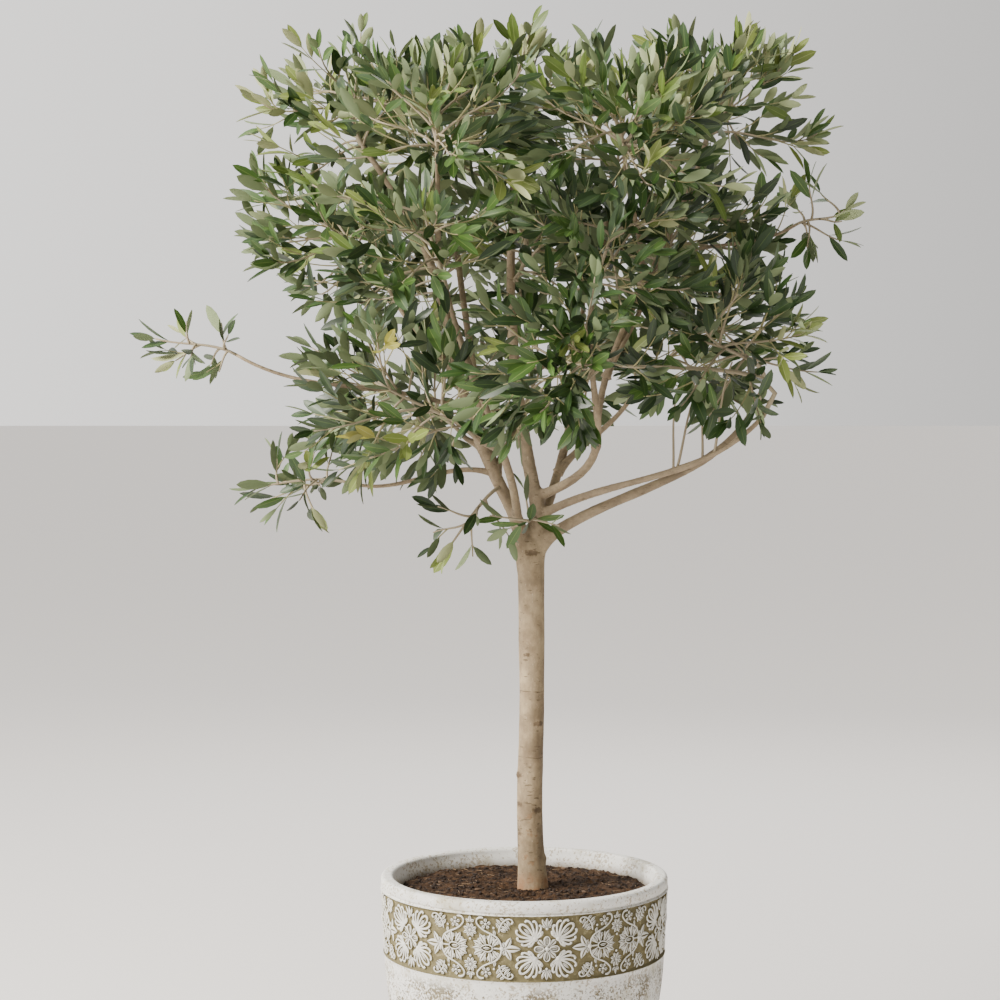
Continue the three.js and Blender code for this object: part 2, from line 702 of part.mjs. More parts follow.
function growMass(mass, number) {
  const random = seededRandom(number * SEED_STEP + SEED);
  const stem = stems[number];
  const twigs = [stem, ...branch(mass, stem, random)];
  const wood = twigs.map((twig) => twig.solid());
  if (flanks[mass.name]) {
    const { from } = flanks[mass.name];
    wood[0] = wood[0].subtract(from in fork ? forkSeat : limbs[from].solid(CLEARANCE));
  }
  const leaves = twigs.flatMap((twig) => leavesOn(twig, mass, stem, random));
  addNode(`foliage_${mass.name}`, [...wood, ...leaves].reduce((sum, solid) => sum.add(solid)), FOLIAGE);
}

masses.forEach(growMass);

export default tree;
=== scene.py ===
import math
import bpy
import numpy as np
from mathutils import Matrix, Vector, noise


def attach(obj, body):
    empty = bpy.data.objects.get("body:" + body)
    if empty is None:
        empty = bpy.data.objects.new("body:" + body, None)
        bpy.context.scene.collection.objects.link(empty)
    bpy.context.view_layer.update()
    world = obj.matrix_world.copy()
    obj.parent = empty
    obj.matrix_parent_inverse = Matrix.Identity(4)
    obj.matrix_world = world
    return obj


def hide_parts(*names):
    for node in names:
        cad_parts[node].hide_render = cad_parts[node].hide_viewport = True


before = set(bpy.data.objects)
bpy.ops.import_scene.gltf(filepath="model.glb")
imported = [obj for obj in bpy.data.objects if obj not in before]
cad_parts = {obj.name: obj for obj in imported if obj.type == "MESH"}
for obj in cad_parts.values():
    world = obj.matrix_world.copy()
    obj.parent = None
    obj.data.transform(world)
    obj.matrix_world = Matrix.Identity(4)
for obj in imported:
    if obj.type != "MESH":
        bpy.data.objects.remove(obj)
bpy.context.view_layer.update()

# The pot: a round planter of fibre cement, cast in one piece in a mould, with a
# soft rounded lip, a recessed band for the frieze and three drain holes. It is
# washed off-white, with grey-brown specks where the wash has worn off the body.

MM = 0.001
POT_HEIGHT = 340 * MM
LIP_RADIUS = 195 * MM
LIP_HEIGHT = 14 * MM
LIP_WIDTH = 17 * MM
LIP_ROUNDING = 5 * MM
STEP_DEPTH = 2.5 * MM
STEP_HEIGHT = 3 * MM
BAND_TOP_RADIUS = 196 * MM
BAND_BOTTOM_RADIUS = 192 * MM
BAND_HEIGHT = 87 * MM
BAND_PROUD = 1.5 * MM
BAND_EDGE = 1.2 * MM
FOOT_RADIUS = 138 * MM
FOOT_CHAMFER = 3 * MM
BODY_FULLNESS = 1.7
WALL = 20 * MM
FLOOR = 20 * MM
DRAIN_RADIUS = 7 * MM
DRAIN_RING_RADIUS = 62 * MM
RELIEF = 3.8 * MM
CAST_WAVE = 0.35 * MM
POT_SIDES = 240
DRAINS = 3
DRILL_SIDES = 32
DRILL_OVERRUN = 10 * MM

BAND_TOP = POT_HEIGHT - LIP_HEIGHT - STEP_HEIGHT
BAND_BOTTOM = BAND_TOP - BAND_HEIGHT
SHOULDER_RADIUS = BAND_BOTTOM_RADIUS - BAND_PROUD
INNER_RADIUS = LIP_RADIUS - LIP_WIDTH
DAMP_LINE = 319 * MM


class Wire:
    """A node's output, on which Python's own sums make Math nodes."""

    def __init__(self, finish, socket):
        self.finish = finish
        self.socket = socket

    def sum_of(self, operation, first, second):
        return self.finish.node("ShaderNodeMath", {"operation": operation}, {0: first, 1: second})

    def __add__(self, other):
        return self.sum_of("ADD", self, other)

    def __sub__(self, other):
        return self.sum_of("SUBTRACT", self, other)

    def __rsub__(self, other):
        return self.sum_of("SUBTRACT", other, self)

    def __mul__(self, other):
        return self.sum_of("MULTIPLY", self, other)

    __radd__ = __add__
    __rmul__ = __mul__


def screen_colour(rgb):
    """A colour given as the screen shows it, from 0 to 255."""
    return tuple(((c / 255 + 0.055) / 1.055) ** 2.4 if c > 10 else c / 3295 for c in rgb) + (1.0,)


class Finish:
    """The nodes of one shader, whose sockets take numbers, screen colours or wires."""

    def __init__(self, name, owners=bpy.data.materials, shader="Principled BSDF"):
        self.owner = owners.new(name)
        self.owner.use_nodes = True
        self.tree = self.owner.node_tree
        self.shader = self.tree.nodes[shader]

    def connect(self, socket, value):
        if isinstance(value, Wire):
            self.tree.links.new(value.socket, socket)
        elif socket.type == "RGBA" and len(value) == 3:
            socket.default_value = screen_colour(value)
        else:
            socket.default_value = value

    def node(self, kind, settings, sockets, output=0):
        made = self.tree.nodes.new(kind)
        for setting, value in settings.items():
            setattr(made, setting, value)
        for socket, value in sockets.items():
            self.connect(made.inputs[socket], value)
        return Wire(self, made.outputs[output])

    def surface(self, **values):
        for socket, value in values.items():
            self.connect(self.shader.inputs[socket.replace("_", " ")], value)
        return self.owner

    def place(self, stretch=(1, 1, 1)):
        here = self.node("ShaderNodeTexCoord", {}, {}, "Object")
        return self.node("ShaderNodeVectorMath", {"operation": "MULTIPLY"}, {0: here, 1: stretch})

    def mottle(self, scale, detail=4, roughness=0.6, stretch=(1, 1, 1)):
        sockets = {"Vector": self.place(stretch), "Scale": scale, "Detail": detail, "Roughness": roughness}
        return self.node("ShaderNodeTexNoise", {}, sockets, "Fac")

    def between(self, value, low, high):
        """0 below low, 1 above high, and a smooth step between."""
        sockets = {"Value": value, "From Min": low, "From Max": high}
        return self.node("ShaderNodeMapRange", {"interpolation_type": "SMOOTHSTEP"}, sockets)

    def spots(self, low, high, *grain, **more):
        """The patches where a mottle stands over a level."""
        return self.between(self.mottle(*grain, **more), low, high)

    def blend(self, share, first, second):
        settings = {"data_type": "RGBA", "clamp_factor": True}
        return self.node("ShaderNodeMix", settings, {0: share, 6: first, 7: second}, 2)

    def layered(self, base, *coats):
        """A colour with others laid over it in turn, each by its share."""
        for share, tint in coats:
            base = self.blend(share, base, tint)
        return base

    def bump(self, height, depth):
        sockets = {"Height": height, "Distance": depth, "Strength": 1.0}
        return self.node("ShaderNodeBump", {}, sockets, "Normal")

    def part(self, axis):
        return self.node("ShaderNodeSeparateXYZ", {}, {0: self.place()}, axis)


def polar(radius, angle):
    return radius * math.cos(angle), radius * math.sin(angle)


def new_mesh(name, points, faces):
    mesh = bpy.data.meshes.new(name)
    mesh.from_pydata(np.asarray(points).tolist(), [], [list(map(int, face)) for face in faces])
    return mesh


def placed(name, data):
    """An object with the given data, in the scene."""
    made = bpy.data.objects.new(name, data)
    bpy.context.scene.collection.objects.link(made)
    return made


def add_piece(name, points, faces, materials, which):
    """A smooth mesh that rides on the part's one body, with a material for each face."""
    mesh = new_mesh(name, points, faces)
    for material in materials:
        mesh.materials.append(material)
    mesh.polygons.foreach_set("material_index", np.asarray(which, dtype=np.int32))
    mesh.polygons.foreach_set("use_smooth", [True] * len(mesh.polygons))
    mesh.update()
    made = placed(name, mesh)
    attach(made, "root")
    return made


class Bundle:
    """Meshes gathered into one, with one material or one for each face."""

    def __init__(self):
        self.points, self.faces, self.which, self.count = [], [], [], 0

    def add(self, points, faces, which=0):
        self.points.append(points)
        self.faces += [tuple(self.count + c for c in face) for face in faces]
        self.which += np.broadcast_to(which, len(faces)).tolist()
        self.count += len(points)

    def made(self, name, materials, slot):
        return add_piece(name, np.vstack(self.points), self.faces, materials, self.which)


def apply_modifiers(made):
    seen = made.evaluated_get(bpy.context.evaluated_depsgraph_get())
    mesh = bpy.data.meshes.new_from_object(seen)
    made.modifiers.clear()
    made.data = mesh


def rows_of_quads(rows, columns, closed=True):
    """Quads between rows of points, with the last column joined to the first where closed."""
    faces = []
    for row in range(rows - 1):
        for column in range(columns if closed else columns - 1):
            onward = (column + 1) % columns
            here, above = row * columns, (row + 1) * columns
            faces.append((here + column, here + onward, above + onward, above + column))
    return faces


def end_caps(sides, last):
    """The faces that close a tube whose last row of points begins at last."""
    return [tuple(range(sides - 1, -1, -1)), tuple(range(last, last + sides))]


def turned(outline, sides):
    """The points and quads of an outline of radius and height turned about the pot's middle."""
    angles = np.linspace(0, 2 * math.pi, sides, endpoint=False)
    points = [(*polar(r, a), z) for r, z in outline for a in angles]
    return np.array(points), rows_of_quads(len(outline), sides)


def body_radius(height):
    below = max(0.0, 1 - height / BAND_BOTTOM)
    return SHOULDER_RADIUS - (SHOULDER_RADIUS - FOOT_RADIUS) * below**BODY_FULLNESS


def band_radius(height):
    share = (height - BAND_BOTTOM) / BAND_HEIGHT
    return BAND_BOTTOM_RADIUS + (BAND_TOP_RADIUS - BAND_BOTTOM_RADIUS) * share


def rounded(radius, height, rounding, start, end, steps=8):
    """Points round a corner, with its angles in degrees."""
    turns = [math.radians(start + (end - start) * i / steps) for i in range(steps + 1)]
    return [(radius + rounding * math.cos(t), height + rounding * math.sin(t)) for t in turns]


lip_top = POT_HEIGHT - LIP_ROUNDING
lip_foot = POT_HEIGHT - LIP_HEIGHT
below_band = [
    (0.0, 0.0),
    *[(FOOT_RADIUS * share, 0.0) for share in (0.25, 0.5, 0.75)],
    *rounded(FOOT_RADIUS - FOOT_CHAMFER, FOOT_CHAMFER, FOOT_CHAMFER, -90, -10, 4),
    *[(body_radius(z), z) for z in np.linspace(FOOT_CHAMFER * 1.5, BAND_BOTTOM - BAND_PROUD, 44)],
    (BAND_BOTTOM_RADIUS, BAND_BOTTOM),
]
ground_heights = np.linspace(BAND_BOTTOM + BAND_EDGE, BAND_TOP - BAND_EDGE, 24)
ground = [(band_radius(z) - RELIEF, z) for z in ground_heights]
above_band = [
    (BAND_TOP_RADIUS, BAND_TOP - BAND_EDGE * 0.4),
    (BAND_TOP_RADIUS - 0.4 * MM, BAND_TOP),
    (LIP_RADIUS - STEP_DEPTH, BAND_TOP + 0.3 * MM),
    (LIP_RADIUS - STEP_DEPTH, lip_foot - 0.3 * MM),
    (LIP_RADIUS - 0.8 * MM, lip_foot),
    (LIP_RADIUS, lip_foot + 0.8 * MM),
    *rounded(LIP_RADIUS - LIP_ROUNDING, lip_top, LIP_ROUNDING, 0, 90),
    *rounded(LIP_RADIUS - LIP_WIDTH + LIP_ROUNDING, lip_top, LIP_ROUNDING, 90, 180),
    *[(LIP_RADIUS - LIP_WIDTH - d * 0.32, lip_top - d) for d in np.linspace(4 * MM, 20 * MM, 5)],
    *[(body_radius(z) - WALL, z) for z in np.linspace(BAND_BOTTOM + 20 * MM, FLOOR, 10)],
    (0.0, FLOOR),
]
outline = below_band + ground + above_band
points, faces = turned(outline, POT_SIDES)
for i, point in enumerate(points):
    outward = Vector((point[0], point[1], 0))
    wave = noise.noise(Vector(point) * 9) + 0.4 * noise.noise(Vector(point) * 31)
    if outward.length > 0.1 and point[2] > FOOT_CHAMFER:
        points[i] += np.array(outward.normalized()) * (min(wave, 0.0) * CAST_WAVE)

cement = Finish("washed_cement")
height = cement.part("Z")
patches = cement.spots(0.4, 0.62, 14, detail=5, roughness=0.7)
specks = cement.mottle(300, detail=3, roughness=0.7)
below = cement.between(height, BAND_BOTTOM - 1 * MM, BAND_BOTTOM - 22 * MM)
wear = cement.between(specks + patches * 0.16, 0.595, 0.625) * below
rim_mottle = cement.mottle(230, detail=3, roughness=0.7) + cement.mottle(30, detail=3) * 0.35
# Damp stains all below its line and within the inner radius, which takes in the outside of
# the tapering foot, below about 150 mm, as well as the inner wall
on_plan = cement.place((1, 1, 0))
from_axis = cement.node("ShaderNodeVectorMath", {"operation": "LENGTH"}, {0: on_plan}, "Value")
inside = cement.between(from_axis, INNER_RADIUS + 3 * MM, INNER_RADIUS)
splashed = cement.between(height + cement.mottle(40) * 10 * MM, DAMP_LINE + 16 * MM, DAMP_LINE) * inside
pits = cement.mottle(520, detail=5, roughness=0.7)
WASHED_CEMENT = cement.surface(
    Base_Color=cement.layered(
        cement.blend(cement.mottle(60), (216, 215, 208), (238, 237, 232)),
        (cement.spots(0.52, 0.72, 22, detail=6) * 0.7, (178, 170, 138)),
        (cement.between(rim_mottle, 0.735, 0.775) * 0.75, (158, 142, 112)),
        (wear * 0.9, (104, 92, 62)),
        (splashed * 0.8, (96, 80, 58)),
    ),
    Roughness=0.82,
    Normal=cement.bump(pits - wear * 0.6, 0.5 * MM),
)

# The sunk ground's ochre stain, which the relief's low faces also take, as painted shade
stain_and_shade = Finish("stained_ground_and_relief_shade")
STAINED_GROUND_AND_RELIEF_SHADE = stain_and_shade.surface(
    Base_Color=stain_and_shade.layered(
        stain_and_shade.blend(stain_and_shade.mottle(45, detail=5), (74, 70, 48), (132, 121, 84)),
        (stain_and_shade.spots(0.54, 0.72, 180, detail=5) * 0.4, (184, 172, 134)),
    ),
    Roughness=0.88,
    Normal=stain_and_shade.bump(stain_and_shade.mottle(600, detail=4), 0.3 * MM),
)

first_ground = len(below_band) - 1
last_ground = len(below_band) + len(ground)
row_of_face = np.arange(len(faces)) // POT_SIDES
in_band = (row_of_face >= first_ground) & (row_of_face < last_ground)
pot = add_piece("pot_shell", points, faces, [WASHED_CEMENT, STAINED_GROUND_AND_RELIEF_SHADE], in_band)
pot.modifiers.new("join_middle", "WELD").merge_threshold = 0.02 * MM
apply_modifiers(pot)
holes = Bundle()
for i in range(DRAINS):
    middle = (*polar(DRAIN_RING_RADIUS, 2 * math.pi * i / DRAINS), 0)
    rim, wall = turned([(DRAIN_RADIUS, -DRILL_OVERRUN), (DRAIN_RADIUS, FLOOR + DRILL_OVERRUN)], DRILL_SIDES)
    holes.add(rim + np.array(middle), wall + end_caps(DRILL_SIDES, DRILL_SIDES))
drill = placed("drill", new_mesh("drill", np.vstack(holes.points), holes.faces))
drain = pot.modifiers.new("drain_holes", "BOOLEAN")
drain.operation = "DIFFERENCE"
drain.object = drill
apply_modifiers(pot)
bpy.data.objects.remove(drill)
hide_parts("pot")

# The frieze: an old floral ornament of rosettes between pairs of scrolls, cast
# with the pot in low relief on the sunk band, which is stained ochre. The relief
# is washed off-white like the rim, and its low flanks and grooves take the
# ground's colour as painted shade. Each repeat is drawn once and mirrored.

REPEATS = 6
FIRST_ROSETTE = math.radians(-90 + 8.2)
FRIEZE_RADIUS = 194 * MM
REPEAT_WIDTH = 2 * math.pi * FRIEZE_RADIUS / REPEATS
HALF_REPEAT = REPEAT_WIDTH / 2 / MM
BAND_EDGE_HEIGHT = 42
EDGE_SINK = -0.5
SPLINE_STEPS = 12
BALL_PLACE = 0.93
BALL_SHARPNESS = 9
FROND_WIDTH = 4.1
PROUD_MORE = 1.7
RIDGE = [(-1, EDGE_SINK), (-0.72, 0.72), (0, 1), (0.72, 0.72), (1, EDGE_SINK)]
BLADE = [(-1, EDGE_SINK), (-0.82, 0.7), (-0.2, 1), (0, 0.3), (0.2, 1), (0.82, 0.7), (1, EDGE_SINK)]
# Relief faces with a corner under this share of a piece's height take the stained ground's colour: painted
# shade on the flanks and in the grooves
PAINTED_SHADE_BELOW = 0.62
DOME = [(1, EDGE_SINK), (0.86, 0.66), (0.5, 0.92), (0.02, 1)]
ALL_FOUR = ((1, 1), (-1, 1), (1, -1), (-1, -1))
LEFT_AND_RIGHT = ((1, 1), (-1, 1))
UP_AND_DOWN = ((1, 1), (1, -1))
ONCE = ((1, 1),)

ornament = []


def cast(mirrors, *grids):
    """Sets pieces on the band, each of them mirrored as given."""
    ornament.extend((mirrors, grid) for grid in grids)


def spline(points, steps=SPLINE_STEPS):
    """A smooth line through a few points, with so many steps from each to the next."""
    points = np.array(points, float)
    padded = np.vstack([2 * points[0] - points[1], points, 2 * points[-1] - points[-2]])
    line = []
    for i in range(len(points) - 1):
        a, b, c, d = padded[i : i + 4]
        for t in np.linspace(0, 1, steps, endpoint=False):
            curve = 2 * b + (c - a) * t + (2 * a - 5 * b + 4 * c - d) * t**2
            line.append(0.5 * (curve + (3 * b - a - 3 * c + d) * t**3))
    return np.array(line + [points[-1]])


def evened(line, steps):
    """A line as evenly spaced points, and its length."""
    lengths = np.concatenate([[0], np.cumsum(np.linalg.norm(np.diff(line, axis=0), axis=1))])
    wanted = np.linspace(0, 1, steps) * lengths[-1]
    return np.stack([np.interp(wanted, lengths, axis) for axis in line.T], axis=1), lengths[-1]


def headings(line, closed=False):
    """A line's direction at each of its points."""
    along = np.gradient(line, axis=0)
    if closed:
        along[0] = along[-1] = line[1] - line[-2]
    return along / np.linalg.norm(along, axis=1)[:, None]


def swept(line, along, half, height, section):
    """A section carried along a line: rows of points across it, each with its height."""
    aside = np.stack([-along[:, 1], along[:, 0]], axis=1) * half[:, None]
    return np.array([[(*(p + a * v), height * h) for v, h in section] for p, a in zip(line, aside)])


def stroke(points, width, height=1.5, end_width=None, ball=0.0, steps=16):
    """A rounded ridge along a line, in millimetres, which can end in a ball."""
    line, _ = evened(spline(points), steps)
    share = np.linspace(0, 1, steps)
    half = np.interp(share, [0, 1], [width, width if end_width is None else end_width]) / 2
    half *= np.clip(np.minimum(share, 1 - share) * 14 + 0.25, 0, 1)
    half = np.maximum(half, ball * np.exp(-(((share - BALL_PLACE) * BALL_SHARPNESS) ** 2)))
    return swept(line, headings(line), half, height, RIDGE)


def petal(root, angle, length, width, height=1.5, fullest=0.5, notches=0, bend=0.0):
    """A leaf or petal with a raised middle, in millimetres and degrees."""
    share = np.linspace(0, 1, 9 + 3 * notches)
    power = math.log(0.5) / math.log(fullest)
    half = np.sin(math.pi * np.clip(share, 0.002, 0.998) ** power) ** 0.85 * width / 2
    if notches:
        half *= 1 - 0.34 * (0.5 - 0.5 * np.cos(2 * math.pi * notches * share))
    turn = math.radians(angle) + math.radians(bend) * share
    along = np.stack([np.cos(turn), np.sin(turn)], axis=1)
    line = np.array(root) + np.vstack([[0, 0], np.cumsum(along[1:] * length / (len(share) - 1), axis=0)])
    return swept(line, along, half, height, BLADE)


def ring(root, angle, length, width, thick, height=1.6):
    """The raised outline of a petal."""
    turn = np.linspace(0, 2 * math.pi, 25)
    x = (1 - np.cos(turn)) / 2 * length
    y = np.sin(turn) * (0.5 + 0.5 * np.abs(np.sin(turn / 2))) * width / 2
    c, s = math.cos(math.radians(angle)), math.sin(math.radians(angle))
    line = np.stack([root[0] + x * c - y * s, root[1] + x * s + y * c], axis=1)
    return swept(line, headings(line, closed=True), np.full(len(line), thick / 2), height, RIDGE)


def boss(centre, radius, height=1.9):
    """A round bead."""
    turn = np.linspace(0, 2 * math.pi, 13)
    edge = np.stack([np.cos(turn), np.sin(turn)], axis=1) * radius
    return np.array([[(*(np.array(centre) + p * r), height * h) for p in edge] for r, h in DOME])


def from_point(root, angle, distance):
    x, y = polar(distance, math.radians(angle))
    return root[0] + x, root[1] + y


def frond(root, angle, length, hook):
    """A curled frond with a ball at its end, which hooks to one side."""
    bent = zip([0, 0.45, 0.8, 1.0, 0.93], [0, 0.02, 0.1, 0.28, 0.42])
    spots = [from_point(from_point(root, angle, length * r), angle + 90 * hook, length * a) for r, a in bent]
    return stroke(spots, FROND_WIDTH, 1.7, FROND_WIDTH * 0.85, ball=2.5, steps=13)


def flower(mirrors, centre, petals, first, inset, length, width, height):
    """Petals set evenly round a middle."""
    for number in range(petals):
        angle = 360 / petals * number + first
        cast(mirrors, petal(from_point(centre, angle, inset), angle, length, width, height, fullest=0.6))


# The rosette, with four outlined petals over four plain ones, and the beads round it
for quarter in (0, 90, 180, 270):
    cast(
        ONCE,
        petal(from_point((0, 0), quarter + 45, 2.5), quarter + 45, 14, 11, 1.5, fullest=0.64, notches=1),
        petal(from_point((0, 0), quarter, 3), quarter, 12.5, 6, 0.9, fullest=0.55),
        ring(from_point((0, 0), quarter, 3.6), quarter, 12.6, 8.6, 1.9, 2.4),
    )
cast(ONCE, boss((0, 0), 3.4, 2.2))
cast(ALL_FOUR, boss((8.2, 20.5), 2.1), boss((22, 7), 2.1))

# The palmettes that spread from a bead into the repeat's corners
palm = (15.5, 13.5)
cast(
    ALL_FOUR,
    boss(palm, 4.4),
    ring(from_point(palm, 43, 4), 43, 22, 10, 2.6),
    petal(from_point(palm, 43, 8), 43, 12, 3.8, 1.5),
)
for offset, length in ((20, 25), (40, 25), (62, 22), (86, 17.5), (112, 12)):
    cast(ALL_FOUR, frond(palm, 43 + offset, length, -1), frond(palm, 43 - offset, length, 1))

# The small tulips above and below the rosette
cast(UP_AND_DOWN, boss((0, 26.5), 2.0), petal((0, 27.5), 90, 13.5, 5.6, 1.8))
cast(ALL_FOUR, petal((0.8, 28.5), 50, 12.5, 5.0, 1.7, bend=24), petal((0.5, 28), 20, 7, 3.6, 1.5))

# The three-pointed leaves that point at the rosette, and the beads behind them
cast(
    LEFT_AND_RIGHT,
    petal((55, 0), 180, 21, 11.5, 1.8, fullest=0.42),
    stroke([(52, 0), (54, 0), (56.5, 0)], 2.8, 1.7, steps=4),
    boss((58.8, 0), 3.6, 2.2),
)
cast(ALL_FOUR, petal((54, 0.8), 124, 16, 9, 1.7, fullest=0.45, bend=-14), petal((53.5, 1), 66, 8.5, 6.5, 1.5))

# The scroll stems, which leave the beads, bow out and curl over small flowers
cast(
    ALL_FOUR,
    stroke(
        [(58.8, 0), (60.2, 6.5), (63, 12), (67.2, 16), (73, 19), (79, 21.4), (84.5, 24.4), (89.4, 28.6),
         (92.4, 33), (91.6, 37.6), (87.6, 40), (83.4, 39.6)],
        3.0, 1.8, 2.6, ball=2.0, steps=34,
    ),
    boss((80.2, 31.6), 2.1, 2.1),
    petal((85.6, 25.4), 138, 6.5, 3.8, 1.4),
    petal((67.5, 17), 74, 7.5, 4.4, 1.5),
    boss((69.4, 27), 1.8),
)
flower(ALL_FOUR, (80.2, 31.6), 5, 18, 1.6, 5.8, 5.2, 1.7)

# The leafy palmettes inside the scrolls, with their seeds towards the beads
LOBES = (((71.5, 2.5), 128, 14.5), ((75, 4), 96, 16), ((80, 4), 60, 17), ((83.5, 2.5), 26, 15))
for root, turn, length in LOBES:
    cast(ALL_FOUR, petal(root, turn, length, 7.6, 1.8))
    for side in (-1, 1):
        tooth = from_point(root, turn, length * 0.3)
        cast(ALL_FOUR, petal(tooth, turn + 34 * side, length * 0.55, 4.8, 1.5))
cast(
    LEFT_AND_RIGHT,
    petal((86, 0), 0, 12.5, 5.2, 1.8),
    ring((87, 0), 180, 16, 10.5, 2.0, 2.5),
    petal((84.4, 0), 180, 10, 4.4, 2.0),
    stroke([(60, 0), (66, 0), (72, 0)], 2.6, 1.7, steps=5),
)

# The star flowers between two scrolls and the trefoils beyond them
star = (HALF_REPEAT, 22.6)
flower(UP_AND_DOWN, star, 8, 22.5, 1.5, 8.2, 5.2, 1.7)
cast(
    UP_AND_DOWN,
    boss(star, 2.4, 2.1),
    boss((HALF_REPEAT, 11), 1.9),
    *[petal((HALF_REPEAT, 33), turn, length, 4.8, 1.7) for turn, length in ((90, 9), (150, 7), (30, 7))],
)

# The toothed leaves that curl beside the palmettes
cast(
    ALL_FOUR,
    stroke(
        [(62.6, 21), (61.4, 28), (57.6, 34.4), (52, 38.8), (46.4, 38.6), (44.4, 35), (46.8, 32.6)],
        3.0, 1.8, 2.2, ball=1.8, steps=20,
    ),
    *[
        petal(root, turn, length, 4.6, 1.6, bend=-14)
        for root, turn, length in (
            ((61.8, 26), 212, 9.5), ((60, 30.5), 222, 12), ((56.5, 35), 236, 12.5), ((52, 38), 250, 9),
            ((61.8, 26), 66, 9), ((59.6, 31.5), 54, 9.5), ((55.5, 36.5), 40, 7),
        )
    ],
)

relief = Bundle()
for repeat in range(REPEATS):
    for mirrors, grid in ornament:
        rows, columns = grid.shape[:2]
        across, up, proud = grid.reshape(-1, 3).T
        quads = rows_of_quads(rows, columns, closed=False)
        # A piece's low faces, on its flanks and in its grooves, take the stained ground's colour as painted
        # shade
        in_painted_shade = [bool(min(proud[list(face)]) < PAINTED_SHADE_BELOW) for face in quads]
        for flip_across, flip_up in mirrors:
            raised = np.clip(up * flip_up, -BAND_EDGE_HEIGHT, BAND_EDGE_HEIGHT)
            height = BAND_BOTTOM + BAND_HEIGHT / 2 + raised * MM
            radius = band_radius(height) - RELIEF + proud * PROUD_MORE * MM
            angle = FIRST_ROSETTE + 2 * math.pi * repeat / REPEATS + across * flip_across * MM / FRIEZE_RADIUS
            spots = np.stack([radius * np.cos(angle), radius * np.sin(angle), height], axis=1)
            net = spots.reshape(rows, columns, 3)
            facing = np.cross(net[1:, 1:] - net[:-1, :-1], net[1:, :-1] - net[:-1, 1:]).sum(axis=(0, 1))
            order = 1 if facing[:2] @ spots.mean(axis=0)[:2] > 0 else -1
            relief.add(spots, [face[::order] for face in quads], in_painted_shade)

plaster = Finish("washed_relief")
WASHED_RELIEF = plaster.surface(
    Base_Color=plaster.layered(
        plaster.blend(plaster.mottle(120, detail=5), (198, 196, 186), (230, 229, 222)),
        (plaster.spots(0.58, 0.7, 340) * 0.4, (176, 164, 130)),
    ),
    Roughness=0.8,
    Normal=plaster.bump(plaster.mottle(700), 0.25 * MM),
)
relief.made("frieze_relief", [WASHED_RELIEF, STAINED_GROUND_AND_RELIEF_SHADE], "stone_effect")

# The compost: dark, moist and crumbly, filled to just under the lip and raised a
# little round the trunk, with loose crumbs, bits of bark and pale fibres on top.

SOIL_EDGE_RADIUS = 169.5 * MM
SOIL_EDGE_HEIGHT = 318 * MM
SOIL_HEIGHT = 322 * MM
SOIL_CROWN_RADIUS = 95 * MM
SOIL_SKIRT = 60 * MM
SOIL_RINGS = 90
SOIL_SIDES = 240
LUMP_SIDES = 6
ROUGHENING = 0.42

chance = np.random.default_rng(11)


def soil_height(x, y):
    """The compost's surface, with clods and grains."""
    r = math.hypot(x, y)
    beyond = max(0.0, r - SOIL_CROWN_RADIUS)
    sloped = SOIL_HEIGHT + (SOIL_EDGE_HEIGHT - SOIL_HEIGHT) * beyond / (SOIL_EDGE_RADIUS - SOIL_CROWN_RADIUS)
    clods = 3.4 * noise.noise(Vector((x, y, 0)) * 30) + 3.2 * abs(noise.noise(Vector((x, y, 3)) * 85))
    grains = 3.4 * abs(noise.noise(Vector((x, y, 7)) * 190)) + 1.6 * noise.noise(Vector((x, y, 9)) * 420)
    return sloped + (clods + grains - 2.6) * MM


soil_outline = [(SOIL_EDGE_RADIUS * (0.004 + 0.996 * i / (SOIL_RINGS - 1)), 0.0) for i in range(SOIL_RINGS)]
soil_outline.append((SOIL_EDGE_RADIUS - 6 * MM, SOIL_EDGE_HEIGHT - SOIL_SKIRT))
soil_points, soil_faces = turned(soil_outline, SOIL_SIDES)
for point in soil_points[: SOIL_RINGS * SOIL_SIDES]:
    point[2] = soil_height(point[0], point[1])
soil_faces.append(range(SOIL_SIDES - 1, -1, -1))

dirt = Finish("moist_compost")
MOIST_COMPOST = dirt.surface(
    Base_Color=dirt.layered(
        dirt.blend(dirt.spots(0.36, 0.62, 70, detail=7, roughness=0.7), (24, 17, 12), (76, 56, 39)),
        (dirt.spots(0.62, 0.74, 420, detail=3) * 0.5, (128, 102, 76)),
    ),
    Roughness=0.93,
    Specular_IOR_Level=0.15,
    Normal=dirt.bump(dirt.mottle(800, detail=6, roughness=0.75), 1.1 * MM),
)
compost = add_piece("compost", soil_points, soil_faces, [MOIST_COMPOST], np.zeros(len(soil_faces)))
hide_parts("soil")


def mix(a, b, share):
    return a + (b - a) * share


def lump(centre, size, sides, squash):
    """A rough small lump: its points and faces."""
    heights = [(-0.8, 0.6), (-0.1, 1.0), (0.6, 0.7)]
    turns = np.linspace(0, 2 * math.pi, sides, False)
    points = np.array([(0, 0, -1.0), *[(*polar(r, t), z) for z, r in heights for t in turns], (0, 0, 1.0)])
    uneven = 1 + chance.uniform(-ROUGHENING, ROUGHENING, (len(points), 1))
    points = points * uneven * size * np.array(squash)
    turn, tilt = chance.uniform(0, 6.3), chance.uniform(-0.5, 0.5)
    spin = np.array(Matrix.Rotation(turn, 3, "Z") @ Matrix.Rotation(tilt, 3, "X"))
    last = len(points) - 1
    top = last - sides
    faces = [(0, 1 + (j + 1) % sides, 1 + j) for j in range(sides)]
    faces += [[1 + c for c in face] for face in rows_of_quads(len(heights), sides)]
    faces += [(top + j, top + (j + 1) % sides, last) for j in range(sides)]
    return points @ spin.T + centre, faces


def plain(name, tint, roughness):
    return Finish(name).surface(Base_Color=tint, Roughness=roughness)


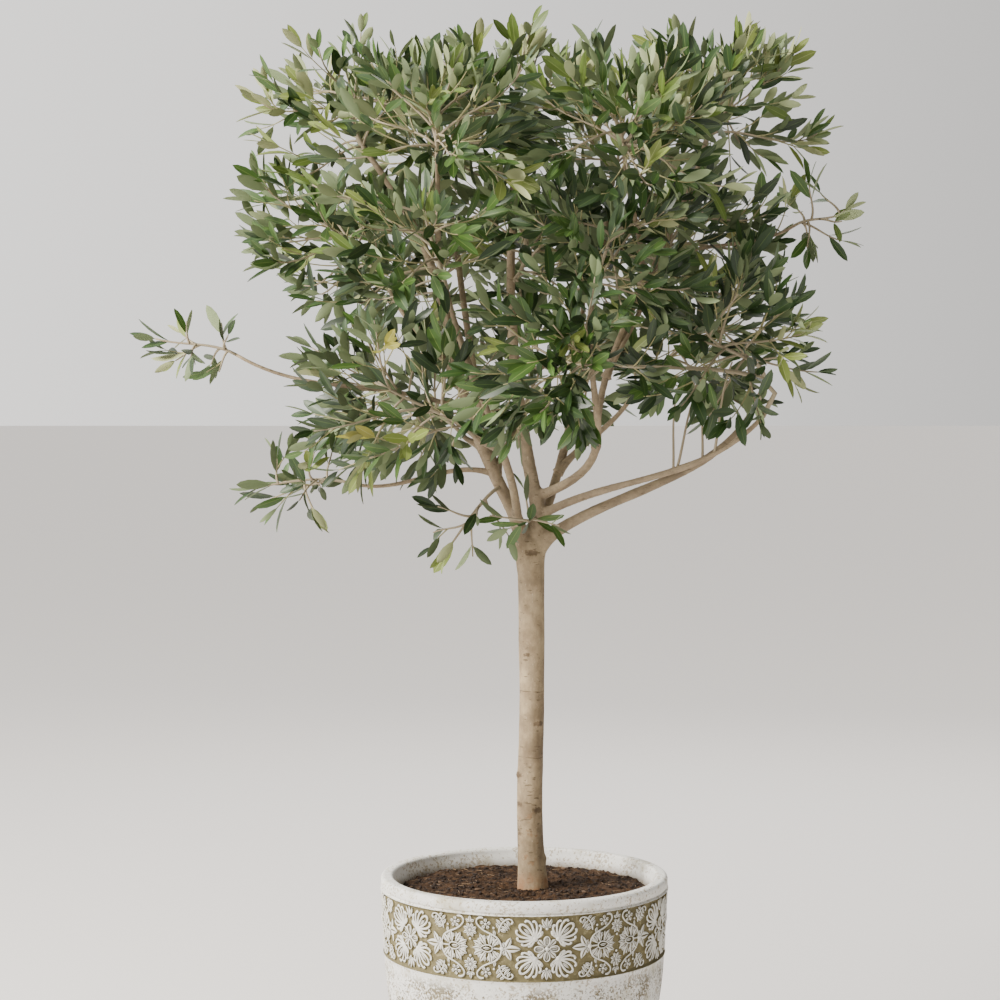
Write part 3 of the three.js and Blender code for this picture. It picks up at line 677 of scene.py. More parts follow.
# Each kind of loose bit: how many, from what size to what in millimetres, squash, colour and roughness
for kind, count, size, squash, tint, roughness in (
    ("compost_crumb", 1100, (0.5, 3.1), (1, 1, 0.8), (45, 33, 24), 0.95),
    ("bark_chip", 40, (1.6, 4.2), (1.5, 0.8, 0.45), (86, 66, 48), 0.9),
    ("pale_fibre", 260, (1.6, 5.0), (1.8, 0.1, 0.1), (122, 99, 74), 0.9),
):
    strewn = Bundle()
    for _ in range(count):
        r = SOIL_EDGE_RADIUS * math.sqrt(chance.uniform(0.02, 0.95))
        x, y = polar(r, chance.uniform(0, 2 * math.pi))
        own = mix(*size, chance.uniform() ** 2.5) * MM
        strewn.add(*lump(np.array([x, y, soil_height(x, y) + own * 0.25]), own, LUMP_SIDES, squash))
    strewn.made(f"{kind}s", [plain(kind, tint, roughness)], "compost")

# The trunk and boughs: one living stem with a flared foot, forked at its head.
# Its grey-beige bark is smooth for an olive, with short level dashes, two faint
# rings, a stub, a few knots and scars, and orange-brown patches near the foot.
# Above the fork it is painted darker and greyer, as painted shade under the crown.

FORK_HEIGHT = 770 * MM
TRUNK_RADIUS = 17.3 * MM
FLARE_WIDTH = 4.2 * MM
FLARE_LENGTH = 38 * MM
HEAD_SWELL = 1.6 * MM
HEAD_SWELL_LENGTH = 60 * MM
TRUNK_BASE = SOIL_HEIGHT
BURIED = 15 * MM
CROWN_DEPTH = 0.98
ENTRY_DEPTH = 0.2
UP = np.array([0.0, 0.0, 1.0])


def unit(v):
    return np.asarray(v, float) / np.linalg.norm(v)


def mm(*values):
    return np.array(values, float) * MM


class Limb:
    """A round tapering limb along a smooth line."""

    side_branch = False

    def __init__(self, line, radii):
        self.line, self.length = evened(line, len(line))
        self.radii = np.array([radii(share) for share in np.linspace(0, 1, len(line))])

    def at(self, share):
        spot = share * (len(self.line) - 1)
        i = min(int(spot), len(self.line) - 2)
        return mix(self.line[i], self.line[i + 1], spot - i), unit(self.line[i + 1] - self.line[i])


def bend(start, leaving, end, arriving, slack=0.36, steps=24):
    """A line that leaves along one direction and arrives along another."""
    reach = np.linalg.norm(end - start) * slack
    a, b = start + unit(leaving) * reach, end - unit(arriving) * reach
    t = np.linspace(0, 1, steps)[:, None]
    return (1 - t) ** 3 * start + 3 * (1 - t) ** 2 * t * a + 3 * (1 - t) * t**2 * b + t**3 * end


def taper(start, end):
    return lambda share: mix(start, end, share)


def trunk_radius(share):
    full = FORK_HEIGHT - TRUNK_BASE + BURIED
    flare = FLARE_WIDTH * math.exp(-(share * full - BURIED) / FLARE_LENGTH)
    swell = HEAD_SWELL * math.exp(-(1 - share) * full / HEAD_SWELL_LENGTH)
    return TRUNK_RADIUS + flare + swell


def trunk_height(share):
    return mix(TRUNK_BASE, FORK_HEIGHT, share) / MM


limbs = {
    "trunk": Limb(
        spline([
            mm(12.5, 0, (TRUNK_BASE - BURIED) / MM),
            mm(7.5, 0, trunk_height(0.25)),
            mm(10.5, 1, trunk_height(0.55)),
            mm(9.5, 0, trunk_height(0.8)),
            mm(9, 0, FORK_HEIGHT / MM),
        ]),
        trunk_radius,
    ),
    "right_arm": Limb(
        spline([mm(9, 0, 756), mm(17, 2, 800), mm(18, 6, 838), mm(12, 10, 868)], 16),
        taper(17.5 * MM, 9.5 * MM),
    ),
    "left_arm": Limb(
        bend(mm(4, 0, 752), (-0.2, 0, 1), mm(-20, -10, 843), (-0.55, -0.1, 1)), taper(14 * MM, 9 * MM)
    ),
    "shoulder": Limb(
        bend(mm(14, 0, 778), (0.6, 0, 1), mm(46, -3, 808), (1, 0, 0.62)), taper(15 * MM, 8.2 * MM)
    ),
}

# The crown's masses: each keeps to its own space, a full-cornered ellipsoid cut off
# where the next one's space begins, in three tiers with sprays that stand out of them
FULLNESS = 2.5
UNEVENNESS = 18 * MM
BLEND = 3
GOLDEN_ANGLE = 2.399963
PLASTIC_SHARE = 0.7548776662

masses = {}


def spread_point(i, number):
    """Evenly spread points on a unit ball, which turn with the mass's number."""
    height = 1 - 2 * ((0.5 + i * PLASTIC_SHARE) % 1)
    angle = number * GOLDEN_ANGLE + 2 * math.pi * ((i * PLASTIC_SHARE**2) % 1)
    around_middle = math.sqrt(1 - height**2)
    return np.array([around_middle * math.cos(angle), around_middle * math.sin(angle), height])


def add_mass(name, centre, size, shoots=12, reach=0.15, lift=0.1, rise=0.25, pull=None):
    masses[name] = dict(
        name=name, centre=np.array(centre), size=mm(*size), shoots=shoots, reach=reach, lift=lift, rise=rise,
        pull=(pull or sum(size) / 3) * MM, number=len(masses),
    )


def add_tier(name, sides, ring, height, size, turn, shift, dome, skirt, **habit):
    for i, side in enumerate(sides):
        angle = math.radians(turn + 360 / len(sides) * i)
        x, y = shift + ring * math.cos(angle), ring * math.sin(angle) * CROWN_DEPTH
        z = height - dome * abs(math.sin(angle)) + skirt * math.cos(angle)
        centre = mm(x, y, z) + spread_point(len(masses), i) * UNEVENNESS
        add_mass(f"{name}_{side}", centre, size, **habit)


from_right = ["right", "back_right", "back_left", "left", "front_left", "front_right"]
from_right_back = ["right_back", "back", "left_back", "left_front", "front", "right_front"]
add_tier("top", from_right, 238, 1366, (174, 162, 142), 0, 0, 62, 0, lift=0.1, rise=0.6)
add_tier("middle", from_right, 228, 1200, (166, 170, 150), 0, -14, 6, 0, rise=0.5)
add_tier("low", from_right_back, 226, 1034, (168, 156, 142), 330, 36, 0, 38, lift=0, rise=0.12)
add_mass("top_centre", mm(-12, 0, 1388), (160, 156, 124), lift=0.1, rise=0.6)
add_mass("heart", mm(0, 0, 1195), (160, 156, 140))
spray = dict(shoots=5, reach=0.55, lift=0, pull=105)
add_mass("stray_left", mm(-440, -30, 1058), (100, 66, 54), **{**spray, "shoots": 8}, rise=0.05)
add_mass("drooping_left", mm(-290, -62, 870), (118, 76, 66), **{**spray, "shoots": 8}, rise=-0.1)
add_mass("hanging", mm(-82, -62, 806), (72, 62, 60), **spray, rise=-0.1)
add_mass("fork_sprig", mm(8, -72, 824), (60, 54, 66), **spray, rise=0)
add_mass("right_sprig", mm(392, -28, 1226), (66, 62, 62), **{**spray, "shoots": 7}, rise=0.2)

centres = np.array([mass["centre"] for mass in masses.values()])
sizes = np.array([mass["size"] for mass in masses.values()])
pulls = np.array([mass["pull"] for mass in masses.values()])


def depth_inside(mass, points, interlock=0.0):
    """How far points lie inside a mass's space.

    Twigs may interlock with the next mass's, and close the notches between two spaces.
    """
    points = np.atleast_2d(np.array(points))
    away = points[:, None, :] - centres[None]
    fullness = (np.abs(away / sizes) ** FULLNESS).sum(axis=2)
    if interlock:
        fullness = (fullness**-BLEND).sum(axis=1) ** (-1 / BLEND)
    else:
        fullness = fullness[:, mass["number"]]
    depth = (1 - fullness ** (1 / FULLNESS)) * mass["size"].min()
    theirs = (away**2).sum(axis=2) - pulls**2
    own = theirs[:, mass["number"]]
    spacing = 2 * np.linalg.norm(centres - mass["centre"], axis=1)
    others = np.arange(len(centres)) != mass["number"]
    planes = (theirs[:, others] - own[:, None]) / spacing[others]
    return np.minimum(depth, planes.min(axis=1) + interlock)


def entry_point(mass, start):
    for share in np.arange(0, 1, 0.01):
        point = mix(start, mass["centre"], share)
        if depth_inside(mass, point)[0] > ENTRY_DEPTH * mass["pull"]:
            return point
    return mass["centre"]


def add_bough(name, parent, at, to, radius, leave=None, end=None, arrive=None, slack=0.36):
    origin, along = limbs[parent].at(at)
    mass = masses[to]
    target = mm(*end) if end else entry_point(mass, origin)
    towards = unit(target - origin)
    leaving = along if at == 1 else (leave or along * 0.55 + towards)
    arriving = arrive or towards + UP * 0.35
    limbs[name] = Limb(bend(origin, leaving, target, arriving, slack), taper(radius[0] * MM, radius[1] * MM))
    limbs[name].side_branch = at < 1
    mass["bough"] = name


add_bough("leader", "right_arm", 1, "top_centre", (9.5, 4.4), arrive=(0.1, 0, 1))
add_bough("left", "left_arm", 1, "top_left", (9, 4.2), arrive=(-0.75, 0, 1), slack=0.5)
add_bough("low_right", "shoulder", 1, "low_right_back", (8.2, 4), end=(318, 40, 980), arrive=(0.5, 0.1, 1))
add_bough(
    "upper_right", "right_arm", 0.62, "low_right_front", (6.2, 3.6),
    end=(314, -70, 962), leave=(1, -0.35, 0.6), arrive=(0.7, -0.1, 0.8),
)
add_bough(
    "mid_right", "right_arm", 0.86, "middle_front_right", (6.6, 3.6),
    leave=(1, -0.25, 0.35), arrive=(0.1, -0.4, 1), slack=0.5,
)
add_bough("upright_right", "mid_right", 0.36, "top_right", (5.6, 3.6), leave=(0, 0.2, 1))
add_bough("back_right", "right_arm", 0.42, "top_back_right", (7.6, 3.8), leave=(0.4, 1, 0.9))
add_bough("back_left", "left_arm", 0.6, "top_back_left", (6.8, 3.8), leave=(-0.4, 1, 0.7))
add_bough("front", "left_arm", 0.72, "middle_front_left", (6.4, 3.8), leave=(0, -1, 0.9))

# The side boughs, each named like the mass that it leads to: parent, where it leaves, radii and direction
for name, parent, at, *habit in (
    ("top_front_left", "left", 0.55, (4.6, 3)),
    ("top_front_right", "upright_right", 0.5, (4, 2.8)),
    ("middle_right", "upright_right", 0.22, (4.4, 3)),
    ("middle_back_right", "back_right", 0.42, (4.6, 3)),
    ("middle_back_left", "back_left", 0.42, (4.6, 3)),
    ("middle_left", "left", 0.34, (5, 3)),
    ("low_back", "back_right", 0.2, (5, 3)),
    ("low_left_back", "back_left", 0.2, (4.8, 3)),
    ("low_left_front", "left", 0.16, (5.2, 3)),
    ("low_front", "front", 0.34, (4.4, 3)),
    ("stray_left", "left", 0.26, (3.6, 2.2), (-1, 0.15, 0.5)),
    ("drooping_left", "left", 0.09, (3.8, 2.2)),
    ("right_sprig", "upright_right", 0.6, (2.8, 2)),
):
    add_bough(name, parent, at, name, *habit)


def tube(line, radii, sides):
    """A tube with closed ends: its points and faces."""
    along = headings(line)
    side = unit(np.cross(along[0], (0.3, 0.9, 0.2)))
    turns = np.linspace(0, 2 * math.pi, sides, endpoint=False)
    points = []
    for centre, direction, radius in zip(line, along, radii):
        side = unit(side - direction * side.dot(direction))
        other = np.cross(direction, side)
        points.append(centre + radius * (np.outer(np.cos(turns), side) + np.outer(np.sin(turns), other)))
    return np.vstack(points), rows_of_quads(len(line), sides) + end_caps(sides, sides * (len(line) - 1))


def collared(limb, swell, reach):
    """A limb's radii, swollen where it leaves its parent."""
    from_root = np.linspace(0, limb.length, len(limb.line))
    return limb.radii * (1 + swell * np.exp(-from_root / (reach * limb.radii[0])))


# The bark's fine grain runs upright as far as the fork, and is even above it
UPRIGHT_TO = 760 * MM
UPRIGHT_FADE = 60 * MM


def gnarled(made, seed, cracks):
    """Pushes a bark mesh in and out: low swellings, a fine grain, and its scars."""
    mesh = made.data
    normals = [v.normal.copy() for v in mesh.vertices]
    for vertex, normal in zip(mesh.vertices, normals):
        p = vertex.co
        swell = noise.noise(Vector((p.x * 22, p.y * 22, p.z * 13 + seed))) * 0.8
        upright = abs(noise.noise(Vector((p.x * 210, p.y * 210, p.z * 38 + seed))))
        even = abs(noise.noise(p * 130))
        ridges = mix(upright, even, min(1, max(0, (p.z - UPRIGHT_TO) / UPRIGHT_FADE)))
        rough = noise.noise(Vector((p.x * 420, p.y * 420, p.z * 190)))
        move = swell - cracks * (0.9 - ridges * 1.6) * 0.45 + rough * 0.22 * cracks
        for place, reach, depth in SCARS:
            away = (p - place).length
            if away < reach * SCAR_END:
                move += depth * math.exp(-((away / reach) ** 2) * 1.4)
        vertex.co = p + normal * (move * MM)
    mesh.update()


# Where the bark is marked: place, how far it reaches, and its height, in millimetres
SCARS = [
    (Vector(mm(*place)), reach * MM, depth)
    for place, reach, depth in (
        ((-12, -8, 476), 6.5, 5.5),
        ((-12, -13, 436), 6.5, -1.6),
        ((-11, -13, 396), 5, -1.2),
        ((18, -13, 428), 5.5, -2.0),
        ((20, -12, 546), 5, 2.4),
        ((20, -10, 545), 2, -2.2),
        ((2, -18, 640), 4, 1.6),
        ((10, -17, 778), 6, -2.6),
        ((50, -12, 812), 9, 1.8),
        ((28, 2, 360), 7, 2.2),
    )
]
SCAR_END = 2.2
DARK_SCARS = 8
RING_HEIGHTS = (500 * MM, 590 * MM)
RING_WAVER = 6 * MM
MARK_FLATNESS = 2.3
MARK_RAGGEDNESS = 16 * MM
WOOD_SIDES = 28
SIDE_BOUGH_SIDES = 10
MAIN_BOUGHS = ["leader", "left", "low_right", "upper_right", "mid_right", "upright_right"]
MAIN_BOUGHS += ["back_right", "back_left", "front"]

wood = Bundle()
for name in ["trunk", "right_arm", "left_arm", "shoulder", *MAIN_BOUGHS]:
    limb = limbs[name]
    wood.add(*tube(limb.line, collared(limb, 0.35, 2.4) if limb.side_branch else limb.radii, WOOD_SIDES))
head_line = limbs["trunk"].line[-1] + UP * MM * np.array([[0], [9], [18], [26], [32]])
wood.add(*tube(head_line, limbs["trunk"].radii[-1] * np.array([1, 0.98, 0.9, 0.74, 0.5]), WOOD_SIDES))

bark = Finish("olive_bark")
height = bark.part("Z")
upright = bark.mottle(60, detail=5, roughness=0.6, stretch=(1, 1, 0.3))
above_fork = bark.between(height, UPRIGHT_TO, UPRIGHT_TO + UPRIGHT_FADE)
flow = upright + (bark.mottle(150, detail=6) - upright) * above_fork
fine = bark.mottle(330, detail=5, roughness=0.7, stretch=(1, 1, 0.45))
dashes = bark.spots(0.64, 0.7, 230, detail=2, stretch=(0.4, 0.4, 1.5))
waver = bark.mottle(34, detail=2)
for ring_height in RING_HEIGHTS:
    from_ring = height + waver * RING_WAVER - (ring_height + RING_WAVER / 2)
    off_ring = bark.node("ShaderNodeMath", {"operation": "ABSOLUTE"}, {0: from_ring})
    dashes = dashes + bark.between(off_ring, 0.9 * MM, 0.2 * MM) * bark.spots(0.4, 0.5, 40)
coats = [
    # Above the fork the bark is painted darker and greyer: painted shade under the crown
    (above_fork * 0.4, (124, 112, 95)),
    (bark.between(flow, 0.56, 0.36) * 0.35, (102, 88, 68)),
    (bark.between(fine, 0.6, 0.72) * 0.5, (198, 184, 160)),
    (dashes * 0.75, (84, 69, 48)),
    (bark.between(height, 0.47, 0.41) * bark.spots(0.57, 0.66, 75, detail=3) * 0.7, (130, 98, 66)),
    (bark.between(height, 0.35, 0.326) * bark.spots(0.3, 0.6, 60) * 0.85, (140, 100, 66)),
]
for place, reach, _ in SCARS[:DARK_SCARS]:
    ends = {0: bark.place((1, 1, MARK_FLATNESS)), 1: (place.x, place.y, place.z * MARK_FLATNESS)}
    away = bark.node("ShaderNodeVectorMath", {"operation": "DISTANCE"}, ends, "Value")
    ragged = away + bark.mottle(300, detail=3) * MARK_RAGGEDNESS
    coats.append((bark.between(ragged - MARK_RAGGEDNESS / 2, reach * 1.9, reach * 1.1) * 0.85, (84, 66, 44)))
clean = bark.blend(bark.spots(0.3, 0.72, 26, detail=6, roughness=0.65), (120, 102, 77), (170, 151, 119))
OLIVE_BARK = bark.surface(
    Base_Color=bark.layered(clean, *coats),
    Roughness=0.78,
    Normal=bark.bump(flow * 0.4 + fine * 0.4 - dashes * 0.5, 0.7 * MM),
)

trunk = wood.made("trunk_and_main_boughs", [OLIVE_BARK], "bark")
weld = trunk.modifiers.new("grown_together", "REMESH")
weld.mode = "VOXEL"
weld.voxel_size = 1.8 * MM
soften = trunk.modifiers.new("soften", "SMOOTH")
soften.factor = 0.5
soften.iterations = 8
apply_modifiers(trunk)
gnarled(trunk, 4.0, 0.5)
trunk.data.materials.clear()
trunk.data.materials.append(OLIVE_BARK)
trunk.data.polygons.foreach_set("use_smooth", [True] * len(trunk.data.polygons))
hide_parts("trunk", *[f"bough_{name}" for name in MAIN_BOUGHS])

thin = Bundle()
side_boughs = [name for name in limbs if name not in MAIN_BOUGHS and f"bough_{name}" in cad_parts]
for name in side_boughs:
    thin.add(*tube(limbs[name].line, collared(limbs[name], 0.7, 3), SIDE_BOUGH_SIDES))
side = thin.made("side_boughs", [OLIVE_BARK], "bark")
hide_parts(*[f"bough_{name}" for name in side_boughs])

# The twigs: grey-tan shoots that branch again and again from each bough's tip
# by one rule, opposite each other, until they fill the mass's space and no more.

FLANKS = {
    "heart": ("leader", 0.6, (0.8, -0.5, 0.5), 3.4),
    "hanging": ("left", 0.05, (-0.3, -1, 0.1), 3),
    "fork_sprig": ("right_arm", 0.6, (-0.4, -1, 0.1), 2.8),
}
SHOOT_TRIES = 120
SHOOT_SPREAD = (30, 105)
TWIG_SPREAD = (24, 50)
TWIG_SPACING = 26 * MM
LONGEST_SHOOT = 170 * MM
LONGEST_TWIG = 130 * MM
SHORTEST = 20 * MM
TIP_ROOM = (18 * MM, 74 * MM)
WIDE_PULL = 160 * MM
INTERLOCK = 26 * MM
ROOM_STEP = 4 * MM
STEM_SIDES, SHOOT_SIDES, RISER_SIDES, TWIG_SIDES = 8, 5, 6, 4
# The share of each that bears leaves, from its tip back
STEM_LEAFY, SHOOT_LEAFY, TWIG_LEAFY = 0.2, 0.5, 0.78

growth = np.random.default_rng(23)
twig_bundle = Bundle()
sprigs = []


def room_along(mass, start, direction, longest):
    """How far a shoot can run before its tip comes too near the edge of its mass's space."""
    reach = np.arange(ROOM_STEP, longest, ROOM_STEP)
    room = growth.uniform(*TIP_ROOM) * mass["pull"] / WIDE_PULL
    inside = depth_inside(mass, start + reach[:, None] * direction, INTERLOCK) > room
    return longest if inside.all() else ROOM_STEP * int(np.argmin(inside))


def around(direction, angle, spread):
    """A direction spread away from another one, turned round it."""
    side = unit(np.cross(direction, (0.31, 0.87, 0.11)))
    other = np.cross(direction, side)
    aside = side * math.cos(angle) + other * math.sin(angle)
    return unit(direction * math.cos(spread) + aside * math.sin(spread))


def grow_shoots(mass, stem):
    """The shoots whose tips are farthest from each other, out of many possible ones."""
    possible = []
    for i in range(SHOOT_TRIES):
        origin, along = stem.at(growth.uniform(0.08, 0.95))
        direction = around(along, i * GOLDEN_ANGLE, math.radians(growth.uniform(*SHOOT_SPREAD)))
        direction = unit(direction + UP * mass["rise"] * growth.uniform(0, 0.8))
        length = room_along(mass, origin, direction, LONGEST_SHOOT)
        if length < SHORTEST:
            continue
        end = origin + direction * length * growth.uniform(0.85, 1.0)
        arriving = direction + UP * mass["rise"] * growth.uniform(0.6, 1.6)
        possible.append(bend(origin, direction + along * 0.4, end, arriving, steps=10))
    tips, chosen = [stem.line[-1]], []
    while possible and len(chosen) < mass["shoots"]:
        gaps = [min(np.linalg.norm(line[-1] - tip) for tip in tips) for line in possible]
        line = possible.pop(int(np.argmax(gaps)))
        tips.append(line[-1])
        chosen.append(Limb(line, taper(1.9 * MM, 0.9 * MM)))
    return chosen


def grow_twigs(mass, shoot):
    """Opposite pairs of twigs along a shoot, each pair a quarter turn round from the last."""
    twigs = []
    pairs = max(1, int(shoot.length * 0.8 / TWIG_SPACING))
    turn = growth.uniform(0, math.pi)
    for pair in range(pairs):
        origin, along = shoot.at(mix(0.16, 0.9, (pair + 0.5) / pairs))
        for side in (0, math.pi):
            angle = turn + side + pair * math.pi / 2 + growth.uniform(-0.4, 0.4)
            direction = around(along, angle, math.radians(growth.uniform(*TWIG_SPREAD)))
            direction = unit(direction + UP * 0.6 * mass["rise"])
            length = room_along(mass, origin, direction, LONGEST_TWIG) * growth.uniform(0.5, 1.0)
            if length < SHORTEST:
                continue
            rising = UP * (0.4 * mass["rise"] + growth.uniform(-0.2, 0.2))
            arriving = direction + rising + growth.normal(0, 0.1, 3)
            line = bend(origin, direction + along * 0.3, origin + direction * length, arriving, steps=8)
            twigs.append(Limb(line, taper(1.1 * MM, 0.6 * MM)))
    return twigs


def keep(mass, limb, sides, leafy, young=0):
    """Adds a limb to the twigs' mesh and to those that bear leaves."""
    twig_bundle.add(*tube(limb.line, limb.radii, sides), young)
    sprigs.append((mass, limb, leafy))


def keep_twigs(mass, shoot):
    for twig in grow_twigs(mass, shoot):
        keep(mass, twig, TWIG_SIDES, TWIG_LEAFY, 1)


for name, mass in masses.items():
    if name in FLANKS:
        parent, at, leave, thick = FLANKS[name]
        start, _ = limbs[parent].at(at)
        leaving = unit(leave)
    else:
        start, leaving = limbs[mass["bough"]].at(1)
        thick = limbs[mass["bough"]].radii[-1] / MM
    end = mass["centre"] + unit(mass["centre"] - start + UP * MM) * mass["size"] * mass["reach"]
    end = end + UP * mass["lift"] * mass["size"][2]
    line = bend(start, leaving, end, end - start + UP * mass["rise"] * 0.2, steps=12)
    stem = Limb(line, taper(thick * MM, 1.2 * MM))
    keep(mass, stem, STEM_SIDES, STEM_LEAFY)
    for shoot in grow_shoots(mass, stem):
        keep(mass, shoot, SHOOT_SIDES, SHOOT_LEAFY)
        keep_twigs(mass, shoot)

# Bare shoots that rise from the two long low boughs into the mass over them
RISER_LENGTH = 125 * MM
for parent, at in (("low_right", 0.52), ("low_right", 0.66), ("upper_right", 0.6), ("upper_right", 0.76)):
    start, along = limbs[parent].at(at)
    rising = unit(UP + along * 0.3 + growth.normal(0, 0.12, 3))
    line = bend(start, rising, start + rising * RISER_LENGTH, rising + along * 0.3, steps=10)
    riser = Limb(line, taper(2 * MM, 1.1 * MM))
    keep(masses["low_right_front"], riser, RISER_SIDES, SHOOT_LEAFY)
    keep_twigs(masses["low_right_front"], riser)

# The boughs that lead out to the sprays bear twigs too, where these have room in the spray's space
for name in ("stray_left", "drooping_left", "right_sprig"):
    keep_twigs(masses[name], limbs[name])

TWIG_BARK = plain("twig_bark", (148, 136, 112), 0.75)
YOUNG_TWIG = plain("young_twig", (148, 142, 100), 0.7)
twigs = twig_bundle.made("twigs", [TWIG_BARK, YOUNG_TWIG], "foliage")
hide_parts(*[f"foliage_{name}" for name in masses])

# The leaves: leathery and narrow, in opposite pairs along the twigs with a tuft at
# each tip. They are dark and half-glossy above, with a pale midrib, and matt
# grey-green below. The tips of the top shoots are young and yellow-green.

LEAF_LENGTHS = (38 * MM, 54 * MM)
LEAF_ROWS = np.array([0.0, 0.08, 0.2, 0.42, 0.66, 0.88, 1.0])
LEAF_HALF_WIDTHS = np.array([0.05, 0.07, 0.56, 0.96, 0.98, 0.6, 0.03])
UPPER_COLUMNS = np.array([-1.0, -0.07, 0.07, 1.0])
UNDER_COLUMNS = np.array([1.0, 0.0, -1.0])
PAIR_SPACING = 19 * MM
LEAF_THICKNESS = 0.5 * MM
LEAF_MARGIN = 1.0 * MM
CLEAR_OF_LIMBS = 3 * MM
CROWN_FOOT = 0.9
CROWN_HEIGHT = 0.6
CROWN_MIDDLE = np.array([0, 0, 1.15])
CROWN_REACH = np.array([0.42, 0.4, 0.36])
MOST_LEAVES = 2700
YELLOW_LUCK = 0.004
YOUNG_LUCK = 0.05
# How much light a sprig of each kind gets at most, with "olive" over them all
MOST_LIGHT = {"deep": 0.42, "dark": 0.8, "mid": 1.12}
# Each kind of leaf: its upper side, midrib and underside
KINDS = {
    "deep": ((29, 49, 16), (60, 80, 36), (80, 93, 60)),
    "dark": ((40, 65, 23), (74, 95, 43), (100, 114, 77)),
    "mid": ((59, 87, 31), (96, 117, 56), (124, 138, 98)),
    "olive": ((86, 106, 42), (116, 131, 70), (144, 154, 112)),
    "young": ((112, 126, 58), (144, 155, 92), (156, 161, 116)),
    "yellow": ((142, 138, 56), (160, 156, 90), (148, 146, 92)),
}
leaf_beds = {kind: [] for kind in KINDS}
limb_points = np.vstack([limb.line for limb in limbs.values()])
limb_radii = np.concatenate([limb.radii for limb in limbs.values()])


def clear_of_limbs(points):
    away = np.linalg.norm(points[:, None, :] - limb_points[None], axis=2) - limb_radii
    return away.min() > CLEAR_OF_LIMBS


def height_share(point):
    return min(1.0, max(0.0, (point[2] - CROWN_FOOT) / CROWN_HEIGHT))


def leaf_kind(tip):
    """The colour of a whole sprig's leaves: young or yellow by chance, and otherwise partly at random and
    partly painted light and shade, lighter near the crown's top and outside and darker within.
    """
    outer = np.linalg.norm((tip - CROWN_MIDDLE) / CROWN_REACH) - 0.7
    luck = growth.uniform()
    if luck < YELLOW_LUCK:
        return "yellow"
    if luck < YOUNG_LUCK + 0.2 * max(0, height_share(tip) - 0.55) + 0.1 * max(0, outer):
        return "young"
    light = growth.uniform() + 0.35 * height_share(tip) + 0.25 * outer
    return next((kind for kind, most in MOST_LIGHT.items() if light < most), "olive")


def add_leaves(mass, twig, leafy):
    """Pairs of leaves from a twig's tip back over its leafy share, wider spread behind."""
    bed = leaf_beds[leaf_kind(twig.line[-1])]
    pairs = max(2, int(twig.length * leafy / PAIR_SPACING))
    turn = growth.uniform(0, math.pi)
    for pair in range(pairs):
        back = min(0.98, (pair + 0.05) * PAIR_SPACING / twig.length)
        root, along = twig.at(1 - back)
        for side in (0, math.pi):
            angle = turn + side + pair * math.pi / 2 + growth.uniform(-0.3, 0.3)
            spread = math.radians(mix(15, 48, min(1, pair / 3)) + growth.uniform(-8, 12))
            direction = around(along, angle, spread)
            length = growth.uniform(*LEAF_LENGTHS) * (0.8 if pair == 0 else 1.0)
            low = 1 - height_share(root)
            face = along + low * (UP * 0.4 + 0.5 * unit(root - CROWN_MIDDLE)) + growth.normal(0, 0.35, 3)
            for shorter in (1.0, 0.8):
                spine = root + np.outer((0.35, 0.6, 0.8, 1.0), direction * length * shorter)
                if depth_inside(mass, spine, INTERLOCK).min() > LEAF_MARGIN and clear_of_limbs(spine):
                    bed.append((root, direction, face, length * shorter))
                    break


for mass, twig, leafy in sprigs:
    add_leaves(mass, twig, leafy)


def leaf_mesh(bed):
    """All the leaves of one colour: upper side, midrib and underside."""
    root, direction, face = (np.array([leaf[i] for leaf in bed]) for i in range(3))
    length = np.array([leaf[3] for leaf in bed])
    count = len(bed)
    across = np.cross(direction, face)
    across /= np.linalg.norm(across, axis=1)[:, None]
    upward = np.cross(across, direction)
    width = length * growth.uniform(0.25, 0.32, count)
    droop = growth.uniform(-0.02, 0.16, count)
    fold = growth.uniform(0.06, 0.32, count)
    twist = growth.uniform(-0.22, 0.22, count)
    points, faces, which = [], [], []
    upper, under = len(UPPER_COLUMNS), len(UNDER_COLUMNS)
    rows = len(LEAF_ROWS)
    grids = []
    for columns, sunk in ((UPPER_COLUMNS, 0.0), (UNDER_COLUMNS, LEAF_THICKNESS)):
        grid = np.zeros((count, rows, len(columns), 3))
        for i, (t, half) in enumerate(zip(LEAF_ROWS, LEAF_HALF_WIDTHS)):
            middle = root + direction * (length * t)[:, None] - upward * (length * droop * t * t)[:, None]
            angle = twist * t
            aside = across * np.cos(angle)[:, None] + upward * np.sin(angle)[:, None]
            normal = upward * np.cos(angle)[:, None] - across * np.sin(angle)[:, None]
            for j, v in enumerate(columns):
                out = half * v * width / 2
                lifted = np.abs(out) * fold - (1 - abs(v)) * sunk
                grid[:, i, j] = middle + aside * out[:, None] + normal * lifted[:, None]
        grids.append(grid)
    for columns, grid in zip((upper, under), grids):
        first = sum(len(p) for p in points)
        pattern = np.array(rows_of_quads(rows, columns, closed=False))
        if columns == under:
            # Cut along the upper side's diagonals, so that the two sides never cross
            pattern = np.roll(pattern, -1, axis=1)
        shift = (first + np.arange(count) * rows * columns)[:, None, None]
        faces.append((pattern[None] + shift).reshape(-1, 4))
        points.append(grid.reshape(-1, 3))
        kinds = [0, 1, 0] if columns == upper else [2, 2]
        which.append(np.tile(kinds, count * (rows - 1)))
    return np.vstack(points), np.vstack(faces), np.concatenate(which)


for kind, (above, rib, below) in KINDS.items():
    leaf_finishes = [
        plain(f"leaf_{kind}_upper", above, 0.42),
        plain(f"leaf_{kind}_midrib", rib, 0.5),
        plain(f"leaf_{kind}_underside", below, 0.7),
    ]
    for first in range(0, len(leaf_beds[kind]), MOST_LEAVES):
        points, faces, which = leaf_mesh(leaf_beds[kind][first : first + MOST_LEAVES])
        add_piece(f"leaves_{kind}_{first // MOST_LEAVES + 1}", points, faces, leaf_finishes, which)

# The studio: a plain pale floor that carries on to the horizon, a broad soft light
# high on the left, a weaker one behind, and a pale room that is brightest on the left.

